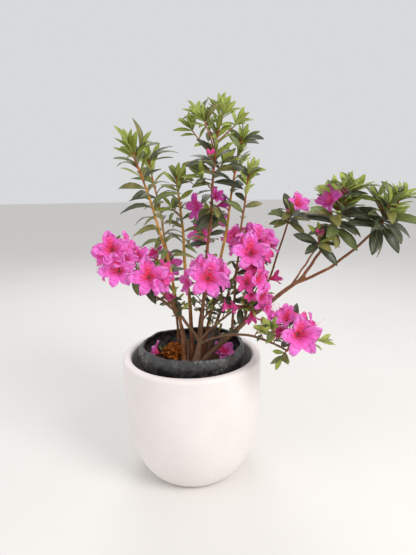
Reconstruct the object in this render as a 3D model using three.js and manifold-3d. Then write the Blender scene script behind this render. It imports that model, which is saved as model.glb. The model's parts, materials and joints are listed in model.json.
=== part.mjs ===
// A flowering azalea shrub in its black nursery bag, standing in a round white planter.
// Millimetres, +Z up. The origin is the centre of the planter's flat underside. The side seen first faces
// -Y, with +X to its right. Angles are in degrees: a turn is the compass direction seen from above, 0 at +X
// and 90 at +Y, and a lift is the angle above the horizontal.
import * as THREE from 'three';
import { mergeVertices } from 'three/addons/utils/BufferGeometryUtils.js';
import Module from 'manifold-3d';

const wasm = await Module();
wasm.setup();

// Driving dimensions
const CLEAR = 0.3; // gap between pieces that touch
const ROOM = 1; // room that a leaf, bloom or twig keeps to the pieces round it
const MERGED = 1e-4; // points closer than this are one
const SLIVER = 0.25; // faces thinner than this are smoothed away after joining
const HAIR = 0.02; // and than this after the last cut
const PLANTER = {
  height: 300, rim: 170, foot: 105, wall: 21, floor: 24, shoulder: 3.83, roundness: 1.4, lip: 9, sides: 28,
  rings: [0.006, 0.04, 0.1, 0.2, 0.36, 0.6], // shares of the height at which the wall has an edge
  lipSteps: 5, // steps over the rounded rim
  heel: 6, // the inner wall starts this far above the floor
  cove: [4, 2], // the inner corner is taken off by this much inwards and upwards
};
const BAG = {
  foot: 24, top: 322, footRadius: 100, rimRadius: 125, wall: 2.4, lip: 3.4, wave: 4, sides: 24,
  collar: 10, // the rolled rim starts this far above the soil
  roll: [-45, 30, 100, 170, 235], // angles of the edges round the rolled rim
  waves: [[2, 0.6, 0.7], [5, 2, 0.35], [3, 0, 0.3]], // rises round the rim: how many, their phase and share
};
const SOIL = { top: 275, bevel: 4 };
const LIMB = { sides: 5, steps: 3, stepLength: 90, flareLength: 16, flareRings: [8, 22] };
const STEM = {
  sides: 4, steps: 1, stepLength: 120, narrower: 0.92,
  bare: 0.15, // a stem of a mass's own has no leaves up to this share
  limbBare: 0.02, // and a limb none for this share past where it becomes leafy
  marks: 12, // places on the stem from which the reach of its mass is measured
};
const TWIG = { girth: [2, 1.5], sides: 3, leafy: 0.45, free: 0.3 };
const LEAF = { length: 57, width: 17, widest: 0.55, thickness: 2.2, bow: 0.06, droop: 0.1, lift: [18, 58] };
const SPIRAL = {
  golden: 137.5, // turn from one leaf to the next
  start: 40, // turn of the first leaf, times its seed
  gather: 0.85, // below 1 the leaves stand closer towards the tip
  late: 3, // how late the leaves begin to rise
  scatter: 16, // how far a lift strays
  sizes: [0.72, 1.08],
  sizeDraw: 51, // the draws of a spiral's sizes start here
};
const BLOOM = {
  radius: 39, depth: 30, throat: 0.3, notch: 0.68, petals: 5, roll: 90,
  stalk: 18, stalkGirth: 1.5, sunk: 1.2,
};
const BUD = { length: 17, radius: 4.4, sunk: 2.5 };

// Limbs. foot is a place on the soil, or the share of the way up the limb named by from. reach is how far
// the limb leads sideways, towards turn, and rise how far it climbs. sweep above 1 bends it outwards late,
// below 1 early, and arch lifts its middle. girth is its radius at foot and tip, and flare what the root
// adds at the soil. From the share leafy upwards the limb belongs to its mass of foliage.
const LIMBS = [
  { name: 'trunk', foot: [10, -3], turn: 15, reach: 13, rise: 58, girth: [7.2, 6], flare: 4 },
  { name: 'right_main_bough', foot: [29, 3], turn: -15, reach: 240, rise: 221, arch: 10,
    girth: [6.8, 4], flare: 3 },
  { name: 'middle_stem', foot: [1, 14], turn: 134, reach: 42, rise: 452, sweep: 1.5, girth: [5.4, 2.4],
    flare: 2.5, leafy: 0.56 },
  { name: 'left_tall_stem', foot: [-21, 1], turn: 202, reach: 108, rise: 516, sweep: 1.75,
    girth: [4.4, 2.2], flare: 2, leafy: 0.42 },
  { name: 'left_second_stem', foot: [-36, 56], turn: 193, reach: 60, rise: 497, sweep: 1.7,
    girth: [3.2, 1.9], flare: 1.5, leafy: 0.54 },
  { name: 'right_tall_stem', foot: [20, 20], turn: 17, reach: 112, rise: 540, sweep: 0.85,
    girth: [4.8, 2.2], flare: 2.5, leafy: 0.72 },
  { name: 'dead_stub', foot: [-12, 6], turn: 60, reach: 5, rise: 52, girth: [2.4, 1.9], flare: 1 },
  { name: 'centre_tall_stem', from: 'trunk', foot: 0.93, turn: 17, reach: 52, rise: 505,
    girth: [4.6, 2.2], leafy: 0.56 },
  { name: 'left_bough', from: 'trunk', foot: 0.82, turn: 212, reach: 132, rise: 143, arch: 22,
    girth: [4, 2.8] },
  { name: 'left_side_bough', from: 'left_bough', foot: 0.46, turn: 236, reach: 40, rise: 42, arch: 3,
    girth: [2.6, 2.1] },
  { name: 'centre_front_bough', from: 'trunk', foot: 0.9, turn: -72, reach: 50, rise: 135, sweep: 1.4,
    girth: [3.8, 2.6] },
  { name: 'arching_bough', from: 'trunk', foot: 0.74, turn: -36, reach: 236, rise: 34, arch: 31,
    girth: [3.6, 2.3] },
  { name: 'lower_right_bough', from: 'trunk', foot: 0.95, turn: -22, reach: 86, rise: 82, arch: 4,
    girth: [3.4, 2.4] },
  { name: 'inner_bough', from: 'centre_tall_stem', foot: 0.1, turn: 4, reach: 36, rise: 44,
    girth: [2.6, 2] },
  { name: 'front_right_stem', from: 'right_main_bough', foot: 0.3, turn: 2, reach: 40, rise: 378,
    sweep: 1.4, girth: [3.2, 2], leafy: 0.68 },
  { name: 'upper_right_bough', from: 'right_main_bough', foot: 0.42, turn: -30, reach: 24, rise: 98,
    girth: [3.4, 2.5] },
  { name: 'middle_right_bough', from: 'right_main_bough', foot: 0.52, turn: -72, reach: 22, rise: 46,
    girth: [3, 2.4] },
  { name: 'right_inner_bough', from: 'right_main_bough', foot: 0.34, turn: 29, reach: 150, rise: 242,
    arch: -42, girth: [3.4, 2.2] },
  { name: 'right_fork_bough', from: 'right_main_bough', foot: 0.97, turn: -18, reach: 62, rise: 100,
    girth: [3.5, 2.6] },
  { name: 'right_end_bough', from: 'right_main_bough', foot: 0.93, turn: -13, reach: 158, rise: 116,
    arch: -16, girth: [3.5, 2.6] },
  { name: 'right_bud_bough', from: 'right_main_bough', foot: 0.88, turn: -30, reach: 56, rise: 92,
    girth: [2.3, 1.7] },
  { name: 'back_right_bough', foot: [34, 22], turn: 42, reach: 124, rise: 216, arch: 14,
    girth: [4.8, 2.8], flare: 2.5 },
  { name: 'back_centre_bough', foot: [15, 38], turn: 68, reach: 78, rise: 262, sweep: 1.3,
    girth: [4.4, 2.6], flare: 2.5 },
  { name: 'back_left_bough', foot: [-7, 36], turn: 126, reach: 98, rise: 150, arch: 12,
    girth: [4.2, 2.6], flare: 2.5 },
];

// Masses of foliage, each grown on from the limb named by on: along its leafy share, or by a stem of its
// own that grow leads on by turn, reach and rise. leaves stand along the stem, size is their share of a full
// leaf, and spread is how far from its stem the mass may go. A twig leaves the stem at a share of its
// length. Its blooms and buds each have the turn and lift that they face, and a share of full size.
const MASSES = [
  { name: 'centre_foliage', on: 'centre_tall_stem', seed: 44, leaves: 16, size: 1.05, spread: 124,
    twigs: [
    { at: 0.15, turn: 172, reach: 7, rise: 6, blooms: [[190, 10, 0.9], [10, 12, 0.6]] },
    { at: 0.2, turn: 120, reach: 10, rise: 9, blooms: [[-70, 20, 0.6]] },
    { at: 0.36, turn: 205, reach: 26, rise: 30, leaves: 3 },
    { at: 0.5, turn: 30, reach: 28, rise: 32, leaves: 3 },
    { at: 0.58, turn: 240, reach: 12, rise: 18, leaves: 2, buds: [[-120, 76, 1], [-40, 70, 1]] },
    { at: 0.66, turn: 188, reach: 44, rise: 58, leaves: 4 },
    { at: 0.74, turn: 228, reach: 30, rise: 56, leaves: 4 },
    { at: 0.78, turn: 120, reach: 28, rise: 50, leaves: 4 },
    { at: 0.84, turn: 4, reach: 40, rise: 34, leaves: 4 },
    { at: 0.88, turn: -50, reach: 20, rise: 42, leaves: 4 },
    { at: 0.94, turn: 165, reach: 38, rise: 34, leaves: 4 },
    { at: 0.98, turn: 70, reach: 16, rise: 36, leaves: 4 },
  ] },
  { name: 'left_tall_foliage', on: 'left_tall_stem', seed: 11, leaves: 22, size: 1, spread: 78, twigs: [
    { at: 0.93, turn: 30, reach: 16, rise: 14, leaves: 4 },
  ] },
  { name: 'left_second_foliage', on: 'left_second_stem', seed: 12, leaves: 14, size: 0.9, spread: 66,
    twigs: [
    { at: 0.9, turn: 60, reach: 10, rise: 16, leaves: 3 },
  ] },
  { name: 'middle_foliage', on: 'middle_stem', seed: 13, leaves: 13, size: 0.9, spread: 66, twigs: [
    { at: 0.5, turn: 170, reach: 22, rise: 22, leaves: 3 },
    { at: 0.85, turn: 20, reach: 12, rise: 14, leaves: 3 },
  ] },
  { name: 'right_tall_foliage', on: 'right_tall_stem', seed: 16, leaves: 11, size: 0.9, spread: 70,
    twigs: [
    { at: 0.4, turn: 60, reach: 20, rise: 24, leaves: 3 },
    { at: 0.85, turn: -15, reach: 10, rise: 16, leaves: 3 },
  ] },
  { name: 'front_right_foliage', on: 'front_right_stem', seed: 29, leaves: 9, size: 0.85, spread: 60,
    twigs: [
    { at: 0.9, turn: -40, reach: 8, rise: 14, leaves: 3 },
  ] },
  { name: 'left_blooms', on: 'left_bough', seed: 17, grow: [194, 71, 101], leaves: 5, size: 0.85,
    spread: 96, twigs: [
    { at: 0.98, turn: 194, reach: 2, rise: 3, blooms: [[-85, 10, 1], [-122, -18, 0.8]] },
    { at: 0.6, turn: 215, reach: 14, rise: 2, leaves: 1, blooms: [[-95, 0, 0.95], [-60, 42, 0.8]] },
    { at: 0.2, turn: -30, reach: 22, rise: 24, leaves: 1, blooms: [[-85, 5, 1.05], [-38, -16, 0.8]] },
    { at: 0.42, turn: 50, reach: 16, rise: 20, leaves: 1, blooms: [[-100, 46, 0.8]] },
    { at: 0.8, turn: 205, reach: 12, rise: 6, leaves: 1, buds: [[200, -10, 1], [225, 25, 0.9]] },
  ] },
  { name: 'left_inner_blooms', on: 'left_side_bough', seed: 18, grow: [205, 12, 26], leaves: 3,
    size: 0.7, spread: 56, twigs: [
    { at: 0.95, turn: 180, reach: 2, rise: 3, blooms: [[-40, -24, 0.55]],
      buds: [[10, 52, 1], [60, 30, 0.8]] },
  ] },
  { name: 'centre_blooms', on: 'centre_front_bough', seed: 19, grow: [-76, 24, 38], leaves: 4,
    size: 0.85, spread: 76, twigs: [
    { at: 0.97, turn: -76, reach: 1, rise: 3, blooms: [[-85, 5, 1.15], [-40, 42, 0.85]] },
    { at: 0.5, turn: 190, reach: 12, rise: 7, leaves: 1, blooms: [[-150, 5, 0.75]] },
    { at: 0.8, turn: 120, reach: 8, rise: 8, leaves: 1, blooms: [[-160, 40, 0.8]] },
  ] },
  { name: 'upper_right_blooms', on: 'upper_right_bough', seed: 20, grow: [225, 10, 72], leaves: 5,
    size: 0.85, spread: 84, twigs: [
    { at: 0.98, turn: 225, reach: 1, rise: 3, blooms: [[-95, 10, 1.05], [172, 30, 0.8], [120, 60, 0.8]] },
    { at: 0.55, turn: 62, reach: 34, rise: 40, leaves: 4, blooms: [[-60, 50, 0.95], [0, 20, 0.8]] },
    { at: 0.72, turn: 24, reach: 16, rise: 2, blooms: [[-112, -12, 0.7]] },
  ] },
  { name: 'middle_right_blooms', on: 'middle_right_bough', seed: 21, grow: [205, 24, 42], leaves: 4,
    size: 0.75, spread: 70, twigs: [
    { at: 0.97, turn: 205, reach: 2, rise: 2, blooms: [[-95, 5, 0.65], [-45, 10, 0.85]] },
    { at: 0.6, turn: -90, reach: 4, rise: 4, blooms: [[-100, -20, 0.5]] },
    { at: 0.3, turn: 60, reach: 38, rise: 20, leaves: 2, blooms: [[10, 10, 0.6]] },
  ] },
  { name: 'lower_right_blooms', on: 'lower_right_bough', seed: 22, grow: [-41, 45, 26], leaves: 5,
    size: 0.8, spread: 70, twigs: [
    { at: 0.95, turn: -41, reach: 2, rise: 2, blooms: [[-80, -50, 0.6], [-160, -10, 0.5]] },
    { at: 0.88, turn: -20, reach: 8, rise: 24, leaves: 1, blooms: [[-40, -10, 0.8]] },
    { at: 0.8, turn: -62, reach: 34, rise: -6, leaves: 2, blooms: [[-30, 10, 0.7]] },
    { at: 0.45, turn: -88, reach: 19, rise: 2, leaves: 2, blooms: [[170, 10, 0.5]] },
  ] },
  { name: 'inner_foliage', on: 'inner_bough', seed: 23, grow: [-10, 26, 46], leaves: 7, size: 0.6,
    spread: 46, twigs: [
    { at: 0.4, turn: -120, reach: 18, rise: 12, leaves: 3 },
    { at: 0.75, turn: 80, reach: 16, rise: 16, leaves: 3 },
  ] },
  { name: 'low_right_blooms', on: 'arching_bough', seed: 24, grow: [18, 14, 40], leaves: 4, size: 0.85,
    spread: 100, twigs: [
    { at: 0.97, turn: 18, reach: 1, rise: 2, blooms: [[-85, 5, 1.1], [-60, 50, 0.7], [-8, 22, 0.6]] },
    { at: 0.3, turn: 78, reach: 39, rise: 34, leaves: 3,
      blooms: [[-120, 40, 0.7], [160, 40, 0.8], [-130, -10, 0.6]] },
    { at: 0.2, turn: 2, reach: 66, rise: 14, leaves: 6 },
    { at: 0.4, turn: 168, reach: 48, rise: 26, leaves: 5 },
    { at: 0.1, turn: 215, reach: 16, rise: -10, leaves: 2 },
  ] },
  { name: 'right_fork_foliage', on: 'right_fork_bough', seed: 25, grow: [10, 26, 50], leaves: 10,
    size: 1, spread: 100, twigs: [
    { at: 0.9, turn: 190, reach: 4, rise: 8, leaves: 2, blooms: [[200, 20, 0.85], [60, 42, 0.8]] },
    { at: 0.98, turn: -80, reach: 8, rise: 32, leaves: 5 },
    { at: 0.7, turn: 30, reach: 26, rise: 38, leaves: 5 },
    { at: 0.5, turn: 215, reach: 26, rise: 22, leaves: 4 },
  ] },
  { name: 'right_bud_rosette', on: 'right_bud_bough', seed: 26, grow: [-60, 6, 12], leaves: 5,
    size: 0.8, spread: 60, twigs: [
    { at: 0.95, turn: -60, reach: 2, rise: 6, leaves: 3, buds: [[-100, 74, 1.1], [10, 66, 1]] },
  ] },
  { name: 'right_end_foliage', on: 'right_end_bough', seed: 27, grow: [-20, 30, 34], leaves: 9, size: 1,
    spread: 92, twigs: [
    { at: 0.5, turn: 60, reach: 24, rise: 28, leaves: 4 },
    { at: 0.8, turn: -100, reach: 16, rise: 26, leaves: 4 },
    { at: 0.97, turn: 0, reach: 14, rise: 30, leaves: 5 },
  ] },
  { name: 'right_inner_foliage', on: 'right_inner_bough', seed: 28, grow: [-70, 20, 34], leaves: 6,
    size: 0.9, spread: 70, twigs: [
    { at: 0.95, turn: -70, reach: 3, rise: 3, leaves: 3, blooms: [[-60, 38, 0.75]],
      buds: [[190, 24, 0.9]] },
  ] },
  { name: 'back_right_blooms', on: 'back_right_bough', seed: 30, grow: [50, 24, 54], leaves: 6,
    size: 0.9, spread: 92, twigs: [
    { at: 0.3, turn: 10, reach: 30, rise: 12, leaves: 2, blooms: [[10, 12, 0.95], [70, 40, 0.8]] },
    { at: 0.7, turn: 110, reach: 24, rise: 18, leaves: 2, blooms: [[95, 8, 1], [150, 46, 0.85]] },
    { at: 0.97, turn: 60, reach: 4, rise: 8, leaves: 3, blooms: [[48, 34, 0.9]] },
  ] },
  { name: 'back_centre_blooms', on: 'back_centre_bough', seed: 31, grow: [80, 26, 76], leaves: 9,
    size: 0.95, spread: 84, twigs: [
    { at: 0.2, turn: 130, reach: 22, rise: 12, leaves: 2, blooms: [[105, 8, 0.95]] },
    { at: 0.55, turn: 60, reach: 24, rise: 20, leaves: 3, blooms: [[70, 26, 0.9]] },
    { at: 0.97, turn: 100, reach: 6, rise: 14, leaves: 4 },
  ] },
  { name: 'back_left_blooms', on: 'back_left_bough', seed: 32, grow: [130, 26, 60], leaves: 7,
    size: 0.9, spread: 84, twigs: [
    { at: 0.2, turn: 176, reach: 26, rise: 8, leaves: 2, blooms: [[182, 4, 0.95], [120, 26, 0.8]] },
    { at: 0.6, turn: 80, reach: 22, rise: 16, leaves: 2, blooms: [[84, 10, 1]] },
    { at: 0.97, turn: 140, reach: 4, rise: 10, leaves: 3, blooms: [[140, 50, 0.85]] },
  ] },
];

// Litter on the soil: place, turn and lift of the bloom's face, its roll and its share of full size
const FALLEN_BLOOMS = [
  { name: 'fallen_bloom_left', at: [-88, 35], turn: -56, lift: 36, roll: 20, size: 0.54 },
  { name: 'fallen_bloom_right', at: [78, 20], turn: -84, lift: 60, roll: 20, size: 0.8 },
];
const CLUMP = {
  at: [-47, 31], radius: 21, height: 30, petals: 7,
  heart: [0.62, 0.42], // the heart's share of the radius and of the height
  lift: [8, 74], // of the lowest and highest petals
  petal: 0.46, // share of a leaf
  plump: 1.6, // by which a petal is thicker than a leaf
};

// Materials
const FINISH = {
  planter: { color: 0xe9e6df, roughness: 0.55 },
  bag: { color: 0x17181a, roughness: 0.35 },
  soil: { color: 0x3a2a1f, roughness: 1 },
  bark: { color: 0x6f4a30, roughness: 0.8 },
  foliage: { color: 0x4f6a36, roughness: 0.6 },
  petal: { color: 0xe0409a, roughness: 0.5 },
  dried: { color: 0xa5602a, roughness: 0.9 },
};

const { cos, sin, min, max, hypot, sqrt, floor, PI } = Math;
const radians = THREE.MathUtils.degToRad;
const mix = THREE.MathUtils.lerp;

// The unit vector that leads towards a turn and a lift
function heading(turn, lift) {
  const level = cos(radians(lift));
  return new THREE.Vector3(level * cos(radians(turn)), level * sin(radians(turn)), sin(radians(lift)));
}

// A number from 0 to 1 that is always the same for the same seed and index
function chance(seed, index) {
  const wild = sin(seed * 12.9898 + index * 78.233) * 43758.5453;
  return wild - floor(wild);
}

// The way that a limb or twig grows: sideways by reach, up by rise, in one upright plane
class Growth extends THREE.Curve {
  constructor(start, { turn, reach, rise, sweep = 1, arch = 0 }) {
    super();
    Object.assign(this, { start, turn, reach, rise, sweep, arch });
    this.side = heading(turn + 90, 0);
  }

  getPoint(share) {
    const out = heading(this.turn, 0).multiplyScalar(this.reach * share ** this.sweep);
    out.z = this.rise * share + this.arch * 4 * share * (1 - share);
    return out.add(this.start);
  }

  get size() {
    return hypot(this.reach, this.rise);
  }
}

// Manifold solids and back
function toSolid(geometry) {
  const bare = geometry.clone();
  bare.deleteAttribute('normal');
  bare.deleteAttribute('uv');
  const merged = mergeVertices(bare, MERGED);
  const index = merged.index.array;
  const faces = [];
  for (let i = 0; i < index.length; i += 3) {
    const [a, b, c] = index.slice(i, i + 3);
    if (a !== b && b !== c && c !== a) faces.push(a, b, c);
  }
  const vertProperties = new Float32Array(merged.attributes.position.array);
  const build = (list) => new wasm.Manifold(new wasm.Mesh({
    numProp: 3, vertProperties, triVerts: Uint32Array.from(list),
  }));
  const solid = build(faces);
  return solid.volume() > 0 ? solid : build(faces.reverse());
}

function toGeometry(solid) {
  const { vertProperties, triVerts, numProp } = solid.getMesh();
  const points = new Float32Array((vertProperties.length / numProp) * 3);
  for (let i = 0; i < points.length; i += 3) {
    points.set(vertProperties.subarray((i / 3) * numProp, (i / 3) * numProp + 3), i);
  }
  const geometry = new THREE.BufferGeometry();
  geometry.setAttribute('position', new THREE.BufferAttribute(points, 3));
  geometry.setIndex(new THREE.BufferAttribute(triVerts, 1));
  return geometry;
}

// The largest piece alone, without loose scraps or the walls of sealed hollows
function largest(solid) {
  const pieces = new wasm.Manifold(solid.getMesh()).decompose();
  return pieces.reduce((best, piece) => (piece.volume() > best.volume() ? piece : best));
}

function join(solids) {
  return solids.slice(1).reduce((whole, solid) => whole.add(solid), solids[0]);
}

function boxesMeet(a, b) {
  const [p, q] = [a.boundingBox(), b.boundingBox()];
  return [0, 1, 2].every((axis) => p.min[axis] <= q.max[axis] && q.min[axis] <= p.max[axis]);
}

function touches(solid, others) {
  return others.some((other) => boxesMeet(solid, other) && !solid.intersect(other).isEmpty());
}

function cutClear(solid, others) {
  const near = others.filter((other) => boxesMeet(solid, other));
  return near.reduce((rest, other) => rest.subtract(other), solid);
}

// Moves every vertex of a geometry
function reshape(geometry, move) {
  const place = geometry.attributes.position;
  const point = new THREE.Vector3();
  for (let i = 0; i < place.count; i += 1) {
    move(point.fromBufferAttribute(place, i));
    place.setXYZ(i, point.x, point.y, point.z);
  }
  return geometry;
}

// A turned solid about the upright axis, from pairs of radius and height that start and end on the axis
function turned(profile, sides) {
  return new THREE.LatheGeometry(profile.map(([r, z]) => new THREE.Vector2(r, z)), sides).rotateX(PI / 2);
}

// A round tapering solid along a growth, through the given shares of its way
function tapered(growth, girthAt, sides, shares, level = false) {
  const ends = [shares[0], shares.at(-1)];
  const profile = [[0, ends[0]], ...shares.map((share) => [girthAt(share), share]), [0, ends[1]]];
  const geometry = new THREE.LatheGeometry(profile.map(([r, s]) => new THREE.Vector2(r, s)), sides);
  return reshape(geometry, (point) => {
    const share = min(max(point.y, 0), 1);
    const along = growth.getTangent(share);
    if (level && point.y <= ends[0]) along.set(0, 0, 1);
    const across = new THREE.Vector3().crossVectors(growth.side, along).normalize();
    const centre = growth.getPoint(share).addScaledVector(along, (point.y - share) * growth.size);
    point.copy(centre.addScaledVector(growth.side, point.x).addScaledVector(across, point.z));
  });
}

function evenShares(from, to, steps) {
  return Array.from({ length: steps + 1 }, (_, i) => mix(from, to, i / steps));
}

// Pot, bag and soil
function outerRadius(z) {
  const { height, rim, foot, shoulder, roundness } = PLANTER;
  return foot + (rim - foot) * (1 - (1 - min(z / height, 1)) ** shoulder) ** (1 / roundness);
}

function planterSolid() {
  const { height, foot, wall, floor: base, lip, sides, rings, lipSteps, heel, cove } = PLANTER;
  const outside = [...rings.map((share) => share * height), height - lip].map((z) => [outerRadius(z), z]);
  const inside = outside.filter(([, z]) => z > base + heel).map(([r, z]) => [r - wall, z]).reverse();
  const [rim, half] = [outerRadius(height) - wall / 2, wall / 2];
  const roll = evenShares(PI, 0, lipSteps).slice(1, -1).map((angle) => [
    rim - half * cos(angle), height - lip + lip * sin(angle),
  ]);
  return toSolid(turned([
    [0, 0], [foot, 0], ...outside, ...roll, ...inside,
    [inside.at(-1)[0] - cove[0], base + cove[1]], [foot + 1, base], [0, base],
  ], sides));
}

function bagRadius(z) {
  const { foot, top, footRadius, rimRadius } = BAG;
  return mix(footRadius, rimRadius, (z - foot) / (top - foot));
}

// The bag's rolled lip rises and dips round its rim
function lipWave(x, y) {
  const turn = Math.atan2(y, x);
  const waves = BAG.waves.map(([count, phase, share]) => share * sin(count * turn + phase));
  return BAG.wave * waves.reduce((sum, wave) => sum + wave, 0);
}

function bagSolid() {
  const { top, wall, lip, sides } = BAG;
  const foot = BAG.foot + CLEAR;
  const [outside, level] = [bagRadius(top), SOIL.top + BAG.collar];
  const roll = BAG.roll.map((angle) => [
    outside - lip + lip * cos(radians(angle)), top - lip + lip * sin(radians(angle)),
  ]);
  const bag = turned([
    [0, foot], [bagRadius(foot), foot], [bagRadius(level), level], ...roll,
    [bagRadius(level) - wall, level], [bagRadius(foot) - wall, foot + wall], [0, foot + wall],
  ], sides);
  return toSolid(reshape(bag, (point) => {
    if (point.z > level) point.z += lipWave(point.x, point.y);
  }));
}

function soilSolid() {
  const { top, bevel } = SOIL;
  const foot = BAG.foot + CLEAR + BAG.wall + CLEAR;
  const gap = BAG.wall + CLEAR * 3;
  return toSolid(turned([
    [0, foot], [bagRadius(foot) - gap, foot], [bagRadius(top - bevel) - gap, top - bevel],
    [bagRadius(top) - gap - bevel, top], [0, top],
  ], BAG.sides));
}

// Limbs. Each is kept with its way, its girth and a copy grown by the clearance, which cuts what meets it.
const grown = new Map();

function growLimb(row) {
  const { name, from, foot, girth, flare = 0, leafy = 1 } = row;
  const parent = grown.get(from);
  const start = parent ? parent.growth.getPoint(foot) : new THREE.Vector3(...foot, SOIL.top + CLEAR);
  const growth = new Growth(start, row);
  const flareAt = (share) => flare * Math.exp((-share * growth.size) / LIMB.flareLength);
  const girthAt = (share) => mix(...girth, share) + flareAt(share);
  const shares = evenShares(0, leafy, LIMB.steps + floor((growth.size * leafy) / LIMB.stepLength));
  if (flare) shares.splice(1, 0, ...LIMB.flareRings.map((height) => height / growth.size));
  const build = (extra) => toSolid(tapered(growth, (share) => girthAt(share) + extra, LIMB.sides, [
    ...shares.slice(0, -1), shares.at(-1) + extra / growth.size,
  ], !parent));
  const near = [...grown.values()].map((limb) => limb.clear);
  const solid = largest(cutClear(build(0), near));
  grown.set(name, { growth, girthAt, leafy, clear: build(CLEAR), solid });
}

// A leaf: six faces, keeled, arched and drooping, its root on the axis of what it grows on
function leafSolid(root, along, above, size, extra = 0) {
  const { length, width, widest, thickness, bow, droop } = LEAF;
  const long = length * size;
  const half = (width * sqrt(size)) / 2 + extra;
  const middle = long * widest;
  const leaf = new THREE.BufferGeometry().setFromPoints([
    new THREE.Vector3(0, 0, 0),
    new THREE.Vector3(middle, half, long * bow - extra),
    new THREE.Vector3(middle, -half, long * bow - extra),
    new THREE.Vector3(long + extra, 0, -long * droop),
    new THREE.Vector3(middle, 0, long * bow + thickness + extra),
  ]).setIndex([0, 1, 2, 3, 2, 1, 0, 4, 1, 1, 4, 3, 3, 4, 2, 2, 4, 0]);
  const across = new THREE.Vector3().crossVectors(above, along).normalize();
  const over = new THREE.Vector3().crossVectors(along, across);
  return toSolid(leaf.applyMatrix4(new THREE.Matrix4().makeBasis(along, across, over).setPosition(root)));
}

// A bloom: a five-lobed funnel about the way that it faces, its foot on the end of its stalk
function bloomSolid(foot, facing, size, roll, extra = 0) {
  const { radius, depth, throat, notch, petals } = BLOOM;
  const [r, d] = [radius * size + extra, depth * size];
  const ring = [[0, -extra], [r, d + extra], [0, d * throat + extra * 2]];
  const lathe = new THREE.LatheGeometry(ring.map(([x, y]) => new THREE.Vector2(x, y)), petals * 2);
  const funnel = reshape(lathe, (point) => {
    if (point.y < d) return;
    const between = Math.round((Math.atan2(point.x, point.z) / PI + 2) * petals) % 2;
    if (between) point.multiplyScalar(notch);
  });
  funnel.rotateY(radians(roll));
  const turn = new THREE.Quaternion().setFromUnitVectors(new THREE.Vector3(0, 1, 0), facing);
  return toSolid(funnel.applyMatrix4(new THREE.Matrix4().compose(foot, turn, new THREE.Vector3(1, 1, 1))));
}

function budSolid(foot, facing, size, extra = 0) {
  const [length, radius] = [BUD.length * size, BUD.radius * size + extra];
  const bud = reshape(new THREE.OctahedronGeometry(1), (point) => {
    point.set(point.x * radius, mix(-BUD.sunk, length + extra, (point.y + 1) / 2), point.z * radius);
  });
  const turn = new THREE.Quaternion().setFromUnitVectors(new THREE.Vector3(0, 1, 0), facing);
  return toSolid(bud.applyMatrix4(new THREE.Matrix4().compose(foot, turn, new THREE.Vector3(1, 1, 1))));
}

function twigSolid(growth, girth, from = 0, extra = 0) {
  return toSolid(tapered(growth, (share) => mix(...girth, share) + extra, TWIG.sides, [from, 1]));
}

// The stalk of a bloom, sunk once in the twig and twice in the bloom
function stalkSolid(end, turn, lift) {
  const { stalk, sunk, stalkGirth } = BLOOM;
  const start = end.clone().addScaledVector(heading(turn, lift), -sunk);
  const [reach, rise] = [cos, sin].map((part) => (stalk + 3 * sunk) * part(radians(lift)));
  return twigSolid(new Growth(start, { turn, reach, rise }), [stalkGirth, stalkGirth]);
}

// Leaves in a spiral along a growth: low ones spread, and the last ones stand up round its tip
function leafRows({ growth, seed, count, size, from }) {
  return Array.from({ length: count }, (_, i) => {
    const share = mix(from, 1, ((i + 0.5) / count) ** SPIRAL.gather);
    const luck = chance(seed, i + 1);
    const above = growth.getTangent(min(share, 1));
    const lift = mix(...LEAF.lift, share ** SPIRAL.late) + SPIRAL.scatter * (luck - 0.5);
    const sideways = heading(seed * SPIRAL.start + i * SPIRAL.golden, 0);
    sideways.addScaledVector(above, -sideways.dot(above)).normalize();
    const along = sideways.multiplyScalar(cos(radians(lift))).addScaledVector(above, sin(radians(lift)));
    const own = mix(...SPIRAL.sizes, chance(seed, i + SPIRAL.sizeDraw));
    return { root: growth.getPoint(share), along, above, size: size * own };
  });
}

// The stem of a mass: the leafy share of its limb, or a stem of its own past the limb's tip
function growStem({ on, grow }) {
  const limb = grown.get(on);
  let growth = limb.growth;
  let range = [limb.leafy, 1];
  let girth = [limb.girthAt(limb.leafy), limb.girthAt(1)];
  if (grow) {
    const [turn, reach, rise] = grow;
    growth = new Growth(limb.growth.getPoint(1), { turn, reach, rise });
    range = [0, 1];
    girth = [limb.girthAt(1) * STEM.narrower, TWIG.girth[0]];
  }
  const girthAt = (share) => mix(...girth, (share - range[0]) / (range[1] - range[0]));
  const steps = STEM.steps + floor(growth.size / STEM.stepLength);
  const solid = toSolid(tapered(growth, girthAt, STEM.sides, evenShares(...range, steps)));
  return { limb, growth, range, solid: cutClear(solid, [limb.clear]) };
}

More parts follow.
